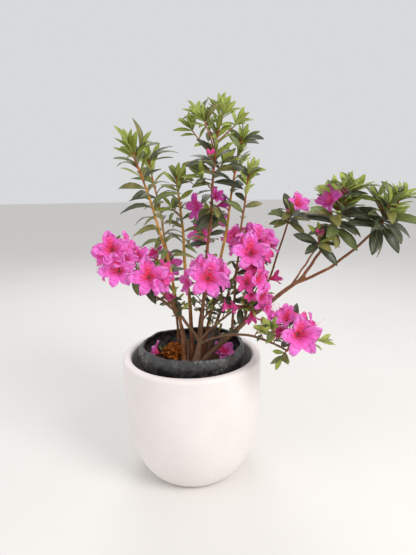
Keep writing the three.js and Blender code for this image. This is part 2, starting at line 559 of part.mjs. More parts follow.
// One mass: stem, then blossom and twigs, then the leaves that find room. Each twig has a seed of its own.
function growMass(row, { limb, growth, range, solid }, neighbours) {
  const { seed, grow, leaves, size, spread, twigs } = row;
  const own = [solid];
  const onStem = (share) => growth.getPoint(mix(...range, share));
  const marks = evenShares(0, 1, STEM.marks).map(onStem);
  const room = (point) => marks.some((mark) => mark.distanceTo(point) < spread);
  const clear = (solid, point) => room(point) && !touches(solid, neighbours);
  const blossom = [];
  const foliage = [];
  twigs.forEach((twig, k) => {
    const way = new Growth(onStem(twig.at), twig);
    if (touches(twigSolid(way, TWIG.girth, TWIG.free, ROOM), neighbours)) return;
    own.push(twigSolid(way, TWIG.girth));
    const end = way.getPoint(1);
    for (const [turn, lift, share] of twig.blooms ?? []) {
      const facing = heading(turn, lift);
      const foot = end.clone().addScaledVector(facing, BLOOM.stalk);
      const roll = BLOOM.roll * chance(seed, k + turn);
      if (!clear(bloomSolid(foot, facing, share, roll, ROOM), foot)) continue;
      own.push(stalkSolid(end, turn, lift));
      blossom.push(bloomSolid(foot, facing, share, roll));
    }
    for (const [turn, lift, share] of twig.buds ?? []) {
      const facing = heading(turn, lift);
      if (clear(budSolid(end, facing, share, ROOM), end)) blossom.push(budSolid(end, facing, share));
    }
    const count = twig.leaves ?? 0;
    foliage.push(...leafRows({ growth: way, seed: seed + k + 2, count, size, from: TWIG.leafy }));
  });
  const from = range[0] + (grow ? STEM.bare : STEM.limbBare);
  foliage.push(...leafRows({ growth, seed, count: leaves, size, from }));
  for (const { root, along, above, size: share } of foliage) {
    const tip = root.clone().addScaledVector(along, LEAF.length * share);
    const wide = leafSolid(root, along, above, share, ROOM);
    if (clear(wide, tip) && !touches(wide, blossom)) own.push(leafSolid(root, along, above, share));
  }
  const whole = join([...own, ...blossom]).simplify(SLIVER);
  return largest(cutClear(whole, [limb.clear]).simplify(HAIR));
}

// Litter on the soil
function fallenBloom({ at, turn, lift, roll, size }) {
  const lying = bloomSolid(new THREE.Vector3(), heading(turn, lift), size, roll);
  const floorLevel = lying.boundingBox().min[2];
  return lying.translate([...at, SOIL.top + CLEAR - floorLevel]);
}

// A withered truss: a dome of curled petals round a low heart
function driedClump() {
  const { at, radius, height, petals, heart: [across, up], lift: [low, high], petal, plump } = CLUMP;
  const heart = new THREE.IcosahedronGeometry(1).scale(radius * across, radius * across, height * up);
  const curls = Array.from({ length: petals }, (_, i) => {
    const lift = mix(low, high, i / petals);
    const turn = i * SPIRAL.golden;
    return leafSolid(new THREE.Vector3(), heading(turn, lift), heading(turn + 180, 90 - lift), petal, plump);
  });
  const clump = largest(join([toSolid(heart), ...curls]));
  return clump.translate([...at, SOIL.top + CLEAR - clump.boundingBox().min[2]]);
}

// The assembly
const shrub = new THREE.Group();
const made = [];

function addPiece(name, solid, finish) {
  const material = new THREE.MeshStandardMaterial({ metalness: 0, ...FINISH[finish] });
  const mesh = new THREE.Mesh(toGeometry(solid), material);
  mesh.name = name;
  shrub.add(mesh);
  made.push(solid);
}

addPiece('planter', planterSolid(), 'planter');
addPiece('nursery_bag', bagSolid(), 'bag');
addPiece('soil', soilSolid(), 'soil');
for (const row of LIMBS) growLimb(row);
for (const [name, limb] of grown) addPiece(name, limb.solid, 'bark');
addPiece('dried_bloom_clump', driedClump(), 'dried');
for (const row of FALLEN_BLOOMS) addPiece(row.name, fallenBloom(row), 'petal');
const stems = MASSES.map(growStem);
MASSES.forEach((row, i) => {
  const later = stems.slice(i + 1).map((stem) => stem.solid);
  const finish = row.name.endsWith('blooms') ? 'petal' : 'foliage';
  addPiece(row.name, growMass(row, stems[i], [...made, ...later]), finish);
});

export default shrub;
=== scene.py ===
import json
from math import atan2, copysign, cos, degrees, exp, hypot, pi, radians, sin, tanh

import bpy
from bpy.props import FloatProperty, FloatVectorProperty, IntProperty, PointerProperty
from mathutils import Matrix, Vector, noise

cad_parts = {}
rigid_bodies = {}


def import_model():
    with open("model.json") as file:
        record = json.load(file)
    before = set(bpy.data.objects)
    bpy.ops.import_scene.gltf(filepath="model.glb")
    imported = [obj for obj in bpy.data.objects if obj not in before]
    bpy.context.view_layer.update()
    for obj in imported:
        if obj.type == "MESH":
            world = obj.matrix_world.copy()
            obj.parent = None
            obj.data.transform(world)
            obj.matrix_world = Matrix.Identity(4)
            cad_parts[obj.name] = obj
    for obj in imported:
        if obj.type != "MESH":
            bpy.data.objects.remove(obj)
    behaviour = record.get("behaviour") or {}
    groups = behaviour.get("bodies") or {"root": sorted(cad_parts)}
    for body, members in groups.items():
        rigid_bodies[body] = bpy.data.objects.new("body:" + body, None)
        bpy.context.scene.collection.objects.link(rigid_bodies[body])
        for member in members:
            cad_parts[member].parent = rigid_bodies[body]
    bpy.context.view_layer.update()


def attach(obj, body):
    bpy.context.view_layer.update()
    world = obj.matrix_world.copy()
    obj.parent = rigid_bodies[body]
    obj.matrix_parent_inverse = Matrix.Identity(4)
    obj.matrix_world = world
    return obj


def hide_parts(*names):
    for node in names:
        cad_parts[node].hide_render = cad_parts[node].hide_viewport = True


# A flowering azalea shrub in its black nursery bag, standing in a round white planter. The origin is the
# centre of the planter's flat underside, +Z is up, and the side seen first faces -Y. Angles are in degrees:
# a turn is the compass direction seen from above, 0 at +X and 90 at +Y, and a lift is the angle above the
# horizontal.

bl_info = {
    "name": "Azalea in a planter",
    "version": (1, 0, 0),
    "blender": (4, 5, 0),
    "location": "View3D > Sidebar > Azalea",
    "description": "Builds a flowering azalea shrub in its nursery bag and its round white planter",
    "category": "Add Mesh",
}

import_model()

MM = 0.001  # the rows below are in millimetres, and everything that is built is in metres
GOLDEN_ANGLE = 137.5

# Limbs. foot is a place on the soil, or the share of the way up the limb named by parent. reach is how far
# the limb leads sideways, towards turn, and rise how far it climbs. sweep above 1 bends it outwards late,
# below 1 early, and arch lifts its middle. girth is its radius at foot and tip, and flare what the root adds
# at the soil. From the share leafy upwards the limb bears the leaves of its mass. skin is the look of its
# bark.
LIMBS = (
    dict(name="trunk", foot=(10, -3), turn=15, reach=13, rise=58, girth=(7.2, 6), flare=4),
    dict(name="right_main_bough", foot=(29, 3), turn=-15, reach=240, rise=221, arch=10, girth=(6.8, 4),
         flare=3),
    dict(name="middle_stem", foot=(1, 14), turn=134, reach=42, rise=452, sweep=1.5, girth=(5.4, 2.4),
         flare=2.5, leafy=0.56, skin="golden"),
    dict(name="left_tall_stem", foot=(-21, 1), turn=202, reach=108, rise=516, sweep=1.75, girth=(4.4, 2.2),
         flare=2, leafy=0.42, skin="golden"),
    dict(name="left_second_stem", foot=(-36, 56), turn=193, reach=60, rise=497, sweep=1.7, girth=(3.2, 1.9),
         flare=1.5, leafy=0.54, skin="golden"),
    dict(name="right_tall_stem", foot=(20, 20), turn=17, reach=112, rise=540, sweep=0.85, girth=(4.8, 2.2),
         flare=2.5, leafy=0.72, skin="golden"),
    dict(name="dead_stub", foot=(-12, 6), turn=60, reach=5, rise=52, girth=(2.4, 1.9), flare=1),
    dict(name="centre_tall_stem", parent="trunk", foot=0.93, turn=17, reach=52, rise=505, girth=(4.6, 2.2),
         leafy=0.56, skin="red"),
    dict(name="left_bough", parent="trunk", foot=0.82, turn=212, reach=132, rise=143, arch=22,
         girth=(4, 2.8)),
    dict(name="left_side_bough", parent="left_bough", foot=0.46, turn=236, reach=40, rise=42, arch=3,
         girth=(2.6, 2.1)),
    dict(name="centre_front_bough", parent="trunk", foot=0.9, turn=-72, reach=50, rise=135, sweep=1.4,
         girth=(3.8, 2.6)),
    dict(name="arching_bough", parent="trunk", foot=0.74, turn=-36, reach=236, rise=34, arch=31,
         girth=(3.6, 2.3)),
    dict(name="lower_right_bough", parent="trunk", foot=0.95, turn=-22, reach=86, rise=82, arch=4,
         girth=(3.4, 2.4)),
    dict(name="inner_bough", parent="centre_tall_stem", foot=0.1, turn=4, reach=36, rise=44,
         girth=(2.6, 2)),
    dict(name="front_right_stem", parent="right_main_bough", foot=0.3, turn=2, reach=40, rise=378,
         sweep=1.4, girth=(3.2, 2), leafy=0.68, skin="red"),
    dict(name="upper_right_bough", parent="right_main_bough", foot=0.42, turn=-30, reach=24, rise=98,
         girth=(3.4, 2.5)),
    dict(name="middle_right_bough", parent="right_main_bough", foot=0.52, turn=-72, reach=22, rise=46,
         girth=(3, 2.4)),
    dict(name="right_inner_bough", parent="right_main_bough", foot=0.34, turn=29, reach=150, rise=242,
         arch=-42, girth=(3.4, 2.2), skin="red"),
    dict(name="right_fork_bough", parent="right_main_bough", foot=0.97, turn=-18, reach=62, rise=100,
         girth=(3.5, 2.6)),
    dict(name="right_end_bough", parent="right_main_bough", foot=0.93, turn=-13, reach=158, rise=116,
         arch=-16, girth=(3.5, 2.6)),
    dict(name="right_bud_bough", parent="right_main_bough", foot=0.88, turn=-30, reach=56, rise=92,
         girth=(2.3, 1.7), skin="red"),
    dict(name="back_right_bough", foot=(34, 22), turn=42, reach=124, rise=216, arch=14, girth=(4.8, 2.8),
         flare=2.5),
    dict(name="back_centre_bough", foot=(15, 38), turn=68, reach=78, rise=262, sweep=1.3, girth=(4.4, 2.6),
         flare=2.5),
    dict(name="back_left_bough", foot=(-7, 36), turn=126, reach=98, rise=150, arch=12, girth=(4.2, 2.6),
         flare=2.5),
)

# Masses of foliage and blossom, each grown on from the limb named by on: along its leafy share, or by a stem
# of its own that grow leads on by turn, reach and rise. leaves stand along the stem up to the share stop,
# the low ones hanging by sag, and a tuft stands up at its tip. size is the share of a full leaf, and blade
# its shape. A twig has tips as the number of young leaves at its end, and past its share fresh the others
# are young too. Past the share crown of the stem, twigs are longer and more of their leaves are young. A
# twig is the share of the stem where it leaves, its turn, reach and rise and its number of leaves, then its
# blooms and its buds, each with the turn and lift that it faces and its share of full size.
MASSES = (
    dict(name="centre_foliage", on="centre_tall_stem", seed=44, leaves=32, size=1.12, sag=64, stop=0.74,
         tuft=8, tips=7, crown=0.6, twigs=(
        (0.15, 172, 7, 6, 0, ((216, 2, 0.8), (10, 12, 0.6))),
        (0.2, 120, 10, 9, 0, ((-70, 20, 0.6),)),
        (0.36, 205, 26, 30, 3),
        (0.5, 30, 28, 32, 3),
        (0.58, 246, 16, 24, 2, (), ((-140, 62, 1.25), (-40, 66, 1.25))),
        (0.66, 188, 44, 58, 4),
        (0.74, 228, 30, 56, 4),
        (0.78, 120, 28, 50, 4),
        (0.84, 4, 40, 34, 4),
        (0.88, -50, 20, 42, 4),
        (0.94, 165, 38, 34, 4),
        (0.98, 70, 16, 36, 4),
    )),
    dict(name="left_tall_foliage", on="left_tall_stem", seed=11, leaves=31, size=1.15, blade="narrow",
         sag=26, tuft=9, twigs=(
        (0.93, 30, 16, 14, 4),
    )),
    dict(name="left_second_foliage", on="left_second_stem", seed=12, leaves=23, size=1.08, blade="narrow",
         sag=26, twigs=(
        (0.9, 60, 10, 16, 3),
    )),
    dict(name="middle_foliage", on="middle_stem", seed=13, leaves=19, size=1.05, blade="narrow", sag=26,
         twigs=(
        (0.5, 170, 22, 22, 3),
        (0.85, 20, 12, 14, 3),
    )),
    dict(name="right_tall_foliage", on="right_tall_stem", seed=16, leaves=14, size=1.0, twigs=(
        (0.4, 60, 20, 24, 3),
        (0.85, -15, 10, 16, 3),
    )),
    dict(name="front_right_foliage", on="front_right_stem", seed=29, leaves=9, size=0.85, twigs=(
        (0.9, -40, 8, 14, 3),
    )),
    dict(name="left_blooms", on="left_bough", seed=17, grow=(194, 71, 101), leaves=9, size=0.85, sag=96,
         twigs=(
        (0.98, 194, 2, 3, 0, ((-85, 10, 0.92), (-122, -18, 0.72))),
        (0.6, 215, 14, 2, 1, ((-95, 0, 0.95), (-60, 42, 0.8))),
        (0.2, -30, 22, 24, 1, ((-85, 5, 1.05), (-38, -16, 0.8))),
        (0.42, 50, 16, 20, 1, ((-100, 46, 0.8),)),
        (0.8, 205, 12, 6, 1, (), ((200, -10, 1), (225, 25, 0.9))),
    )),
    dict(name="left_inner_blooms", on="left_side_bough", seed=18, grow=(205, 12, 26), leaves=3, size=0.7,
         twigs=(
        (0.95, 180, 2, 3, 0, ((-40, -24, 0.55),), ((10, 52, 1), (60, 30, 0.8))),
    )),
    dict(name="centre_blooms", on="centre_front_bough", seed=19, grow=(-76, 24, 38), leaves=4, size=0.85,
         twigs=(
        (0.97, -76, 1, 3, 0, ((-85, 5, 1.15), (-40, 42, 0.85))),
        (0.5, 190, 12, 7, 1, ((-150, 5, 0.75),)),
        (0.8, 120, 8, 8, 1, ((-160, 40, 0.8),)),
    )),
    dict(name="upper_right_blooms", on="upper_right_bough", seed=20, grow=(225, 10, 72), leaves=5,
         size=0.85, twigs=(
        (0.98, 225, 1, 3, 0, ((-95, 10, 1.05), (172, 30, 0.8), (120, 60, 0.8))),
        (0.55, 62, 34, 40, 4, ((-60, 50, 0.95), (0, 20, 0.8))),
        (0.72, 24, 16, 2, 0, ((-112, -12, 0.7),)),
    )),
    dict(name="middle_right_blooms", on="middle_right_bough", seed=21, grow=(205, 24, 42), leaves=4,
         size=0.75, twigs=(
        (0.97, 205, 2, 2, 0, ((-95, 5, 0.65), (-45, 10, 0.85))),
        (0.6, -90, 4, 4, 0, ((-100, -20, 0.5),)),
        (0.3, 60, 38, 20, 2, ((10, 10, 0.6),)),
    )),
    dict(name="lower_right_blooms", on="lower_right_bough", seed=22, grow=(-41, 45, 26), leaves=5, size=0.8,
         twigs=(
        (0.95, -41, 2, 2, 0, ((-80, -50, 0.6), (-160, -10, 0.5))),
        (0.88, -20, 8, 24, 1, ((-40, -10, 0.8),)),
        (0.8, -62, 34, -6, 2, ((-30, 10, 0.7),)),
        (0.45, -88, 19, 2, 2, ((170, 10, 0.5),)),
    )),
    dict(name="inner_foliage", on="inner_bough", seed=23, grow=(-10, 26, 46), leaves=7, size=0.6, twigs=(
        (0.4, -120, 18, 12, 3),
        (0.75, 80, 16, 16, 3),
    )),
    dict(name="low_right_blooms", on="arching_bough", seed=24, grow=(18, 14, 40), leaves=4, size=0.85,
         fresh=0.3, twigs=(
        (0.97, 18, 1, 2, 0, ((-85, 5, 1.1), (-60, 50, 0.7), (-8, 22, 0.6))),
        (0.3, 78, 39, 34, 3, ((-120, 40, 0.7), (160, 40, 0.8), (-130, -10, 0.6))),
        (0.2, 2, 66, 14, 6),
        (0.4, 168, 48, 26, 5),
        (0.1, 215, 16, -10, 2),
    )),
    dict(name="right_fork_foliage", on="right_fork_bough", seed=25, grow=(10, 26, 58), leaves=23, size=1.16,
         sag=44, stop=0.86, tuft=6, tips=5, crown=0.6, twigs=(
        (0.9, 190, 4, 8, 2, ((200, 20, 0.85), (60, 42, 0.8))),
        (0.98, -80, 8, 36, 4),
        (0.7, 30, 26, 38, 4),
        (0.5, 215, 26, 22, 4),
        (0.8, 150, 24, 32, 4),
        (0.86, -140, 20, 34, 4),
        (0.92, -20, 22, 36, 4),
    )),
    dict(name="right_bud_rosette", on="right_bud_bough", seed=26, grow=(-60, 6, 12), leaves=10, size=0.9,
         sag=34, tuft=0, tips=2, twigs=(
        (0.95, -60, 2, 12, 2, (), ((-150, 66, 1.2), (-30, 66, 1.1))),
    )),
    dict(name="right_end_foliage", on="right_end_bough", seed=27, grow=(-20, 30, 34), leaves=20, size=1.16,
         sag=44, stop=0.86, tuft=6, tips=5, crown=0.6, twigs=(
        (0.5, 60, 24, 28, 6),
        (0.8, -100, 16, 26, 4),
        (0.97, 0, 14, 30, 5),
        (0.84, 170, 18, 32, 4),
        (0.9, -40, 18, 30, 4),
    )),
    dict(name="right_inner_foliage", on="right_inner_bough", seed=28, grow=(-70, 20, 34), leaves=15,
         size=0.95, sag=30, tuft=3, twigs=(
        (0.95, -70, 3, 3, 3, ((-60, 38, 0.75),), ((190, 24, 0.9),)),
    )),
    dict(name="back_right_blooms", on="back_right_bough", seed=30, grow=(50, 24, 54), leaves=6, size=0.9,
         twigs=(
        (0.3, 10, 30, 12, 2, ((10, 12, 0.95), (70, 40, 0.8))),
        (0.7, 110, 24, 18, 2, ((95, 8, 1), (150, 46, 0.85))),
        (0.97, 60, 4, 8, 3, ((48, 34, 0.9),)),
    )),
    dict(name="back_centre_blooms", on="back_centre_bough", seed=31, grow=(80, 26, 76), leaves=13,
         size=0.95, twigs=(
        (0.2, 130, 22, 12, 2, ((105, 8, 0.95),)),
        (0.55, 60, 24, 20, 3, ((70, 26, 0.9),)),
        (0.97, 100, 6, 14, 4),
    )),
    dict(name="back_left_blooms", on="back_left_bough", seed=32, grow=(130, 26, 60), leaves=7, size=0.9,
         twigs=(
        (0.2, 176, 26, 8, 2, ((182, 4, 0.95), (120, 26, 0.8))),
        (0.6, 80, 22, 16, 2, ((84, 10, 1),)),
        (0.97, 140, 4, 10, 3, ((140, 50, 0.85),)),
    )),
)

# Short leafy twigs along a limb: its name, a seed, their number and the first and last share of the limb
INNER_TWIGS = (
    ("centre_front_bough", 51, 5, 0.4, 0.95),
    ("lower_right_bough", 52, 4, 0.3, 0.9),
    ("middle_right_bough", 53, 3, 0.3, 0.95),
    ("inner_bough", 54, 4, 0.2, 0.95),
    ("right_main_bough", 55, 3, 0.16, 0.36),
    ("upper_right_bough", 56, 4, 0.25, 0.9),
    ("left_bough", 57, 3, 0.35, 0.7),
    ("left_side_bough", 58, 2, 0.3, 0.9),
    ("arching_bough", 59, 3, 0.6, 0.92),
    ("back_right_bough", 60, 4, 0.4, 0.95),
    ("back_centre_bough", 61, 4, 0.4, 0.95),
    ("back_left_bough", 62, 4, 0.4, 0.95),
)

# What lies on the soil. Fallen blooms have the turn and lift that they face and a share of full size. The
# dried truss is a dome of petals, and a seedling stands beside it.
FALLEN_BLOOMS = (
    dict(name="fallen_bloom_left", at=(-82, 12), turn=165, lift=25, size=0.66),
    dict(name="fallen_bloom_right", at=(78, 20), turn=-84, lift=62, size=0.82),
    dict(name="fallen_bloom_right", at=(80, 17), turn=-30, lift=76, size=0.6),
)
CLUMP = dict(at=(-47, 31), radius=25, height=34, petals=120, seed=5)
SHOOT = dict(at=(-78, 44), rise=16, leaves=6, size=0.28)


def paint(code):
    """The linear colour of a six-digit sRGB code."""
    parts = [int(code[i:i + 2], 16) / 255 for i in (0, 2, 4)]
    return tuple(part / 12.92 if part <= 0.04045 else ((part + 0.055) / 1.055) ** 2.4 for part in parts)


def length(name, text, default):
    return FloatProperty(name=name, description=text, default=default, min=0, unit="LENGTH", precision=4)


def colour(name, text, code):
    return FloatVectorProperty(name=name, description=text, default=paint(code), size=3, min=0, max=1,
                               subtype="COLOR")


class PlanterSettings(bpy.types.PropertyGroup):
    """The round planter."""

    height: length("Height", "From the flat underside to the top of the rim", 0.3)
    rim: length("Rim radius", "Outside radius at the rim", 0.17)
    foot: length("Foot radius", "Outside radius at the underside", 0.105)
    wall: length("Wall", "Thickness of the wall", 0.021)
    lip: length("Lip", "Height of the rounded edge on the rim", 0.009)
    body: colour("Body", "Matt off-white of the planter", "f0e9e6")
    scuff: colour("Scuffs", "Faint marks of wear", "c3bab1")


class BagSettings(bpy.types.PropertyGroup):
    """The black nursery bag."""

    top: length("Top", "Height of the rolled rim above the ground", 0.322)
    rim: length("Rim radius", "Outside radius at the rolled rim", 0.125)
    foot: length("Foot radius", "Outside radius at the bag's bottom", 0.1)
    lip: length("Rolled lip", "Radius of the rolled lip", 0.0032)
    bulge: length("Bulge", "How far the film swells out below its lip", 0.0065)
    wrinkle: length("Wrinkles", "Depth of the creases in the film", 0.0024)
    film: colour("Film", "Black polythene", "131314")
    # the pale colour of grime on the film, which also stands in for a painted sheen and painted crease
    # highlights
    dust_and_sheen: colour("Dust", "Dried mud and dust on the film", "8f8986")


class SoilSettings(bpy.types.PropertyGroup):
    """The potting soil and its litter."""

    top: length("Soil level", "Height of the soil above the ground", 0.275)
    relief: length("Relief", "Height of the lumps", 0.006)
    density: IntProperty(name="Chips", description="Bark chips on a square metre", default=26000, min=0)
    earth: colour("Soil", "Damp potting soil", "35241a")
    chip: colour("Bark chips", "Chips of composted bark", "74503a")
    straw: colour("Dry bits", "Dry leaf and straw scraps", "a5875c")
    dried: colour("Dried petals", "Withered orange-brown petals", "b06426")


class WoodSettings(bpy.types.PropertyGroup):
    """Trunk, boughs, stems and twigs."""

    relief: length("Bark relief", "Height of the bark's ridges", 0.0009)
    gnarl: length("Gnarl", "How far a limb strays from its way", 0.0022)
    bark: colour("Old bark", "Grey-brown bark of trunk and boughs", "8c6a50")
    red: colour("Red stems", "Bark of the younger stems", "935f3c")
    golden: colour("Golden stems", "Bark of the tall leading shoots", "d09c44")
    shoot: colour("Shoot tips", "Orange-red bark near the tips", "bd5a34")
    twig: colour("Twigs", "Bark of the twigs", "ac6444")
    stalk: colour("Flower stalks", "Hairy green stalks and calyces", "939c52")


class LeafSettings(bpy.types.PropertyGroup):
    """Leaves."""

    long: length("Leaf length", "A full leaf from root to tip", 0.06)
    broad: length("Broad leaf width", "Width of the leaves in the whorls", 0.0215)
    narrow: length("Narrow leaf width", "Width of the leaves on the tall shoots", 0.0132)
    dark: colour("Dark leaves", "Old leaves, grey-green", "454a35")
    middle: colour("Green leaves", "Leaves of middle age", "69743f")
    olive: colour("Olive leaves", "Leaves that turn brownish", "7d7840")
    young: colour("Young leaves", "Yellow-green leaves at the tips", "9fa94c")
    under: colour("Undersides", "Pale undersides and midribs", "8f9470")
    young_under: colour("Young undersides", "Undersides of the young leaves", "b2bf66")


class BloomSettings(bpy.types.PropertyGroup):
    """Blossom."""

    radius: length("Bloom radius", "A full bloom from its middle to the tip of a petal", 0.039)
    depth: length("Bloom depth", "From the foot of a full bloom to its face", 0.03)
    stalk: length("Stalk", "From the twig to the foot of the bloom", 0.018)
    bright: colour("Petals", "Hot pink of the fresh petals", "ff66c6")
    edge: colour("Pale petals", "Lilac pink of the outer petals", "ff7cd4")
    glow: colour("Glow", "Petals halfway out", "ff52a6")
    blush: colour("Blush", "Inner part of the petals", "f8437c")
    heart: colour("Throat", "Coral red of the throat", "f53a5e")
    deep: colour("Deep petals", "Petals that are opening or fading", "ec4a9c")
    deep_heart: colour("Deep throat", "Throat of the deep blooms", "d92a5c")
    # painted shade: a darker, bluer copy of the pink petals and throat, for the blooms of the shaded masses
    purple: colour("Purple petals", "Petals in the shade and on the soil", "c440a0")
    shaded_purple_heart: colour("Purple throat", "Throat of the purple blooms", "cc3478")
    faded: colour("Faded petals", "Limp petals of the spent blooms", "b93a72")
    faded_heart: colour("Faded throat", "Throat of the spent blooms", "a82848")
    speck: colour("Specks", "Dark dots on the upper petals", "cc1f62")
    filament: colour("Filaments", "Pink stamens", "f06aa6")
    anther: colour("Anthers", "Tips of the stamens", "b2566e")


class StageSettings(bpy.types.PropertyGroup):
    """Floor, light and camera."""

    floor: length("Floor", "Side of the floor", 60.0)
    pale: colour("Floor colour", "Plain pale floor", "e8e5e1")
    light: FloatProperty(name="Light", description="Strength of the soft lights", default=1.0, min=0)


SETTINGS = dict(azalea_planter=PlanterSettings, azalea_bag=BagSettings, azalea_soil=SoilSettings,
                azalea_wood=WoodSettings, azalea_leaf=LeafSettings, azalea_bloom=BloomSettings,
                azalea_stage=StageSettings)


# Small sums

def mix(low, high, share):
    return low + (high - low) * share


def chance(seed, index):
    """A number from 0 to 1 that is always the same for the same seed and index."""
    wild = sin(seed * 12.9898 + index * 78.233) * 43758.5453
    return wild % 1.0


def clamp(value):
    return min(max(value, 0), 1)


def climb(height):
    return Vector((0, 0, height))


def on_plan(place, height):
    """The point at a height in metres over a place in millimetres."""
    return Vector((place[0] * MM, place[1] * MM, height))


def polar(out, turn, height):
    """The point that lies so far out, at a turn in radians and a height."""
    return Vector((out * cos(turn), out * sin(turn), height))


def heading(turn, lift=0.0):
    """The unit vector that leads towards a turn and a lift."""
    level = cos(radians(lift))
    return Vector((level * cos(radians(turn)), level * sin(radians(turn)), sin(radians(lift))))


def basis(along, over):
    """The turn that leads +X along, with +Z as near to over as it can be."""
    across = over.cross(along).normalized()
    return Matrix((along, across, along.cross(across))).transposed().to_quaternion()


# Growth of the shrub, by the rule of its solids

class Growth:
    """The way that a limb or twig grows: sideways by reach, up by rise, in one upright plane."""

    def __init__(self, start, turn, reach, rise, sweep=1.0, arch=0.0, gnarl=0.0):
        self.start, self.turn, self.sweep, self.gnarl = start, turn, sweep, gnarl
        self.reach, self.rise, self.arch = reach * MM, rise * MM, arch * MM
        self.size = hypot(self.reach, self.rise)

    def point(self, share):
        """The place at a share of the way, which sways from side to side and to and fro."""
        out = heading(self.turn) * (self.reach * share ** self.sweep)
        out.z = self.rise * share + self.arch * 4 * share * (1 - share)
        stray = self.gnarl * sin(pi * share)
        out += heading(self.turn + 90) * stray * sin(11 * share + self.turn)
        out += heading(self.turn) * stray * 0.6 * sin(19 * share + 2 * self.turn)
        return self.start + out

    def tangent(self, share, step=0.01):
        low, high = max(share - step, 0.0), min(share + step, 1.0)
        return (self.point(high) - self.point(low)).normalized()


class Limb:
    """A limb of the shrub: its growth, its girth along the way and the share where its leaves begin."""

    flare_length = 0.016
    collar = 0.35  # the share that a limb is thicker where it leaves another
    straightest = 0.012  # a short limb strays by no more than this share of its size

    def __init__(self, row, parent, soil_top, gnarl):
        start = parent.growth.point(row["foot"]) if parent else on_plan(row["foot"], soil_top)
        gnarl = min(gnarl, self.straightest * hypot(row["reach"], row["rise"]) * MM)
        self.growth = Growth(start, row["turn"], row["reach"], row["rise"], row.get("sweep", 1.0),
                             row.get("arch", 0.0), gnarl)
        self.name, self.parent, self.skin = row["name"], parent, row.get("skin", "bark")
        self.girth, self.flare, self.leafy = row["girth"], row.get("flare", 0.0), row.get("leafy", 1.0)

    def girth_at(self, share):
        plain, along = mix(*self.girth, share) * MM, share * self.growth.size
        collar = 0.0 if self.flare else self.collar * plain * exp(-along / (3 * plain))
        return plain + collar + self.flare * MM * exp(-along / self.flare_length)


class Leaf:
    """Where a leaf stands: its root, the way it leads, its upper side, its size, kind of blade and tint."""

    def __init__(self, place, along, over, size, kind, tint):
        self.place, self.along, self.turned = place, along, basis(along, over)
        self.size, self.kind, self.tint = size, kind, tint


class Bloom:
    """Where a bloom or bud stands: its foot, the way it faces, its size, kind and tint."""

    def __init__(self, place, facing, size, kind, tint, roll=0.0):
        upright = climb(1) - facing * facing.z
        upright = upright.normalized() if upright.length > 0.05 else Vector((0, -1, 0))
        upright.rotate(Matrix.Rotation(radians(roll), 3, facing))
        self.turned = Matrix((upright, facing.cross(upright), facing)).transposed().to_quaternion()
        self.place, self.facing, self.size, self.kind, self.tint = place, facing, size, kind, tint


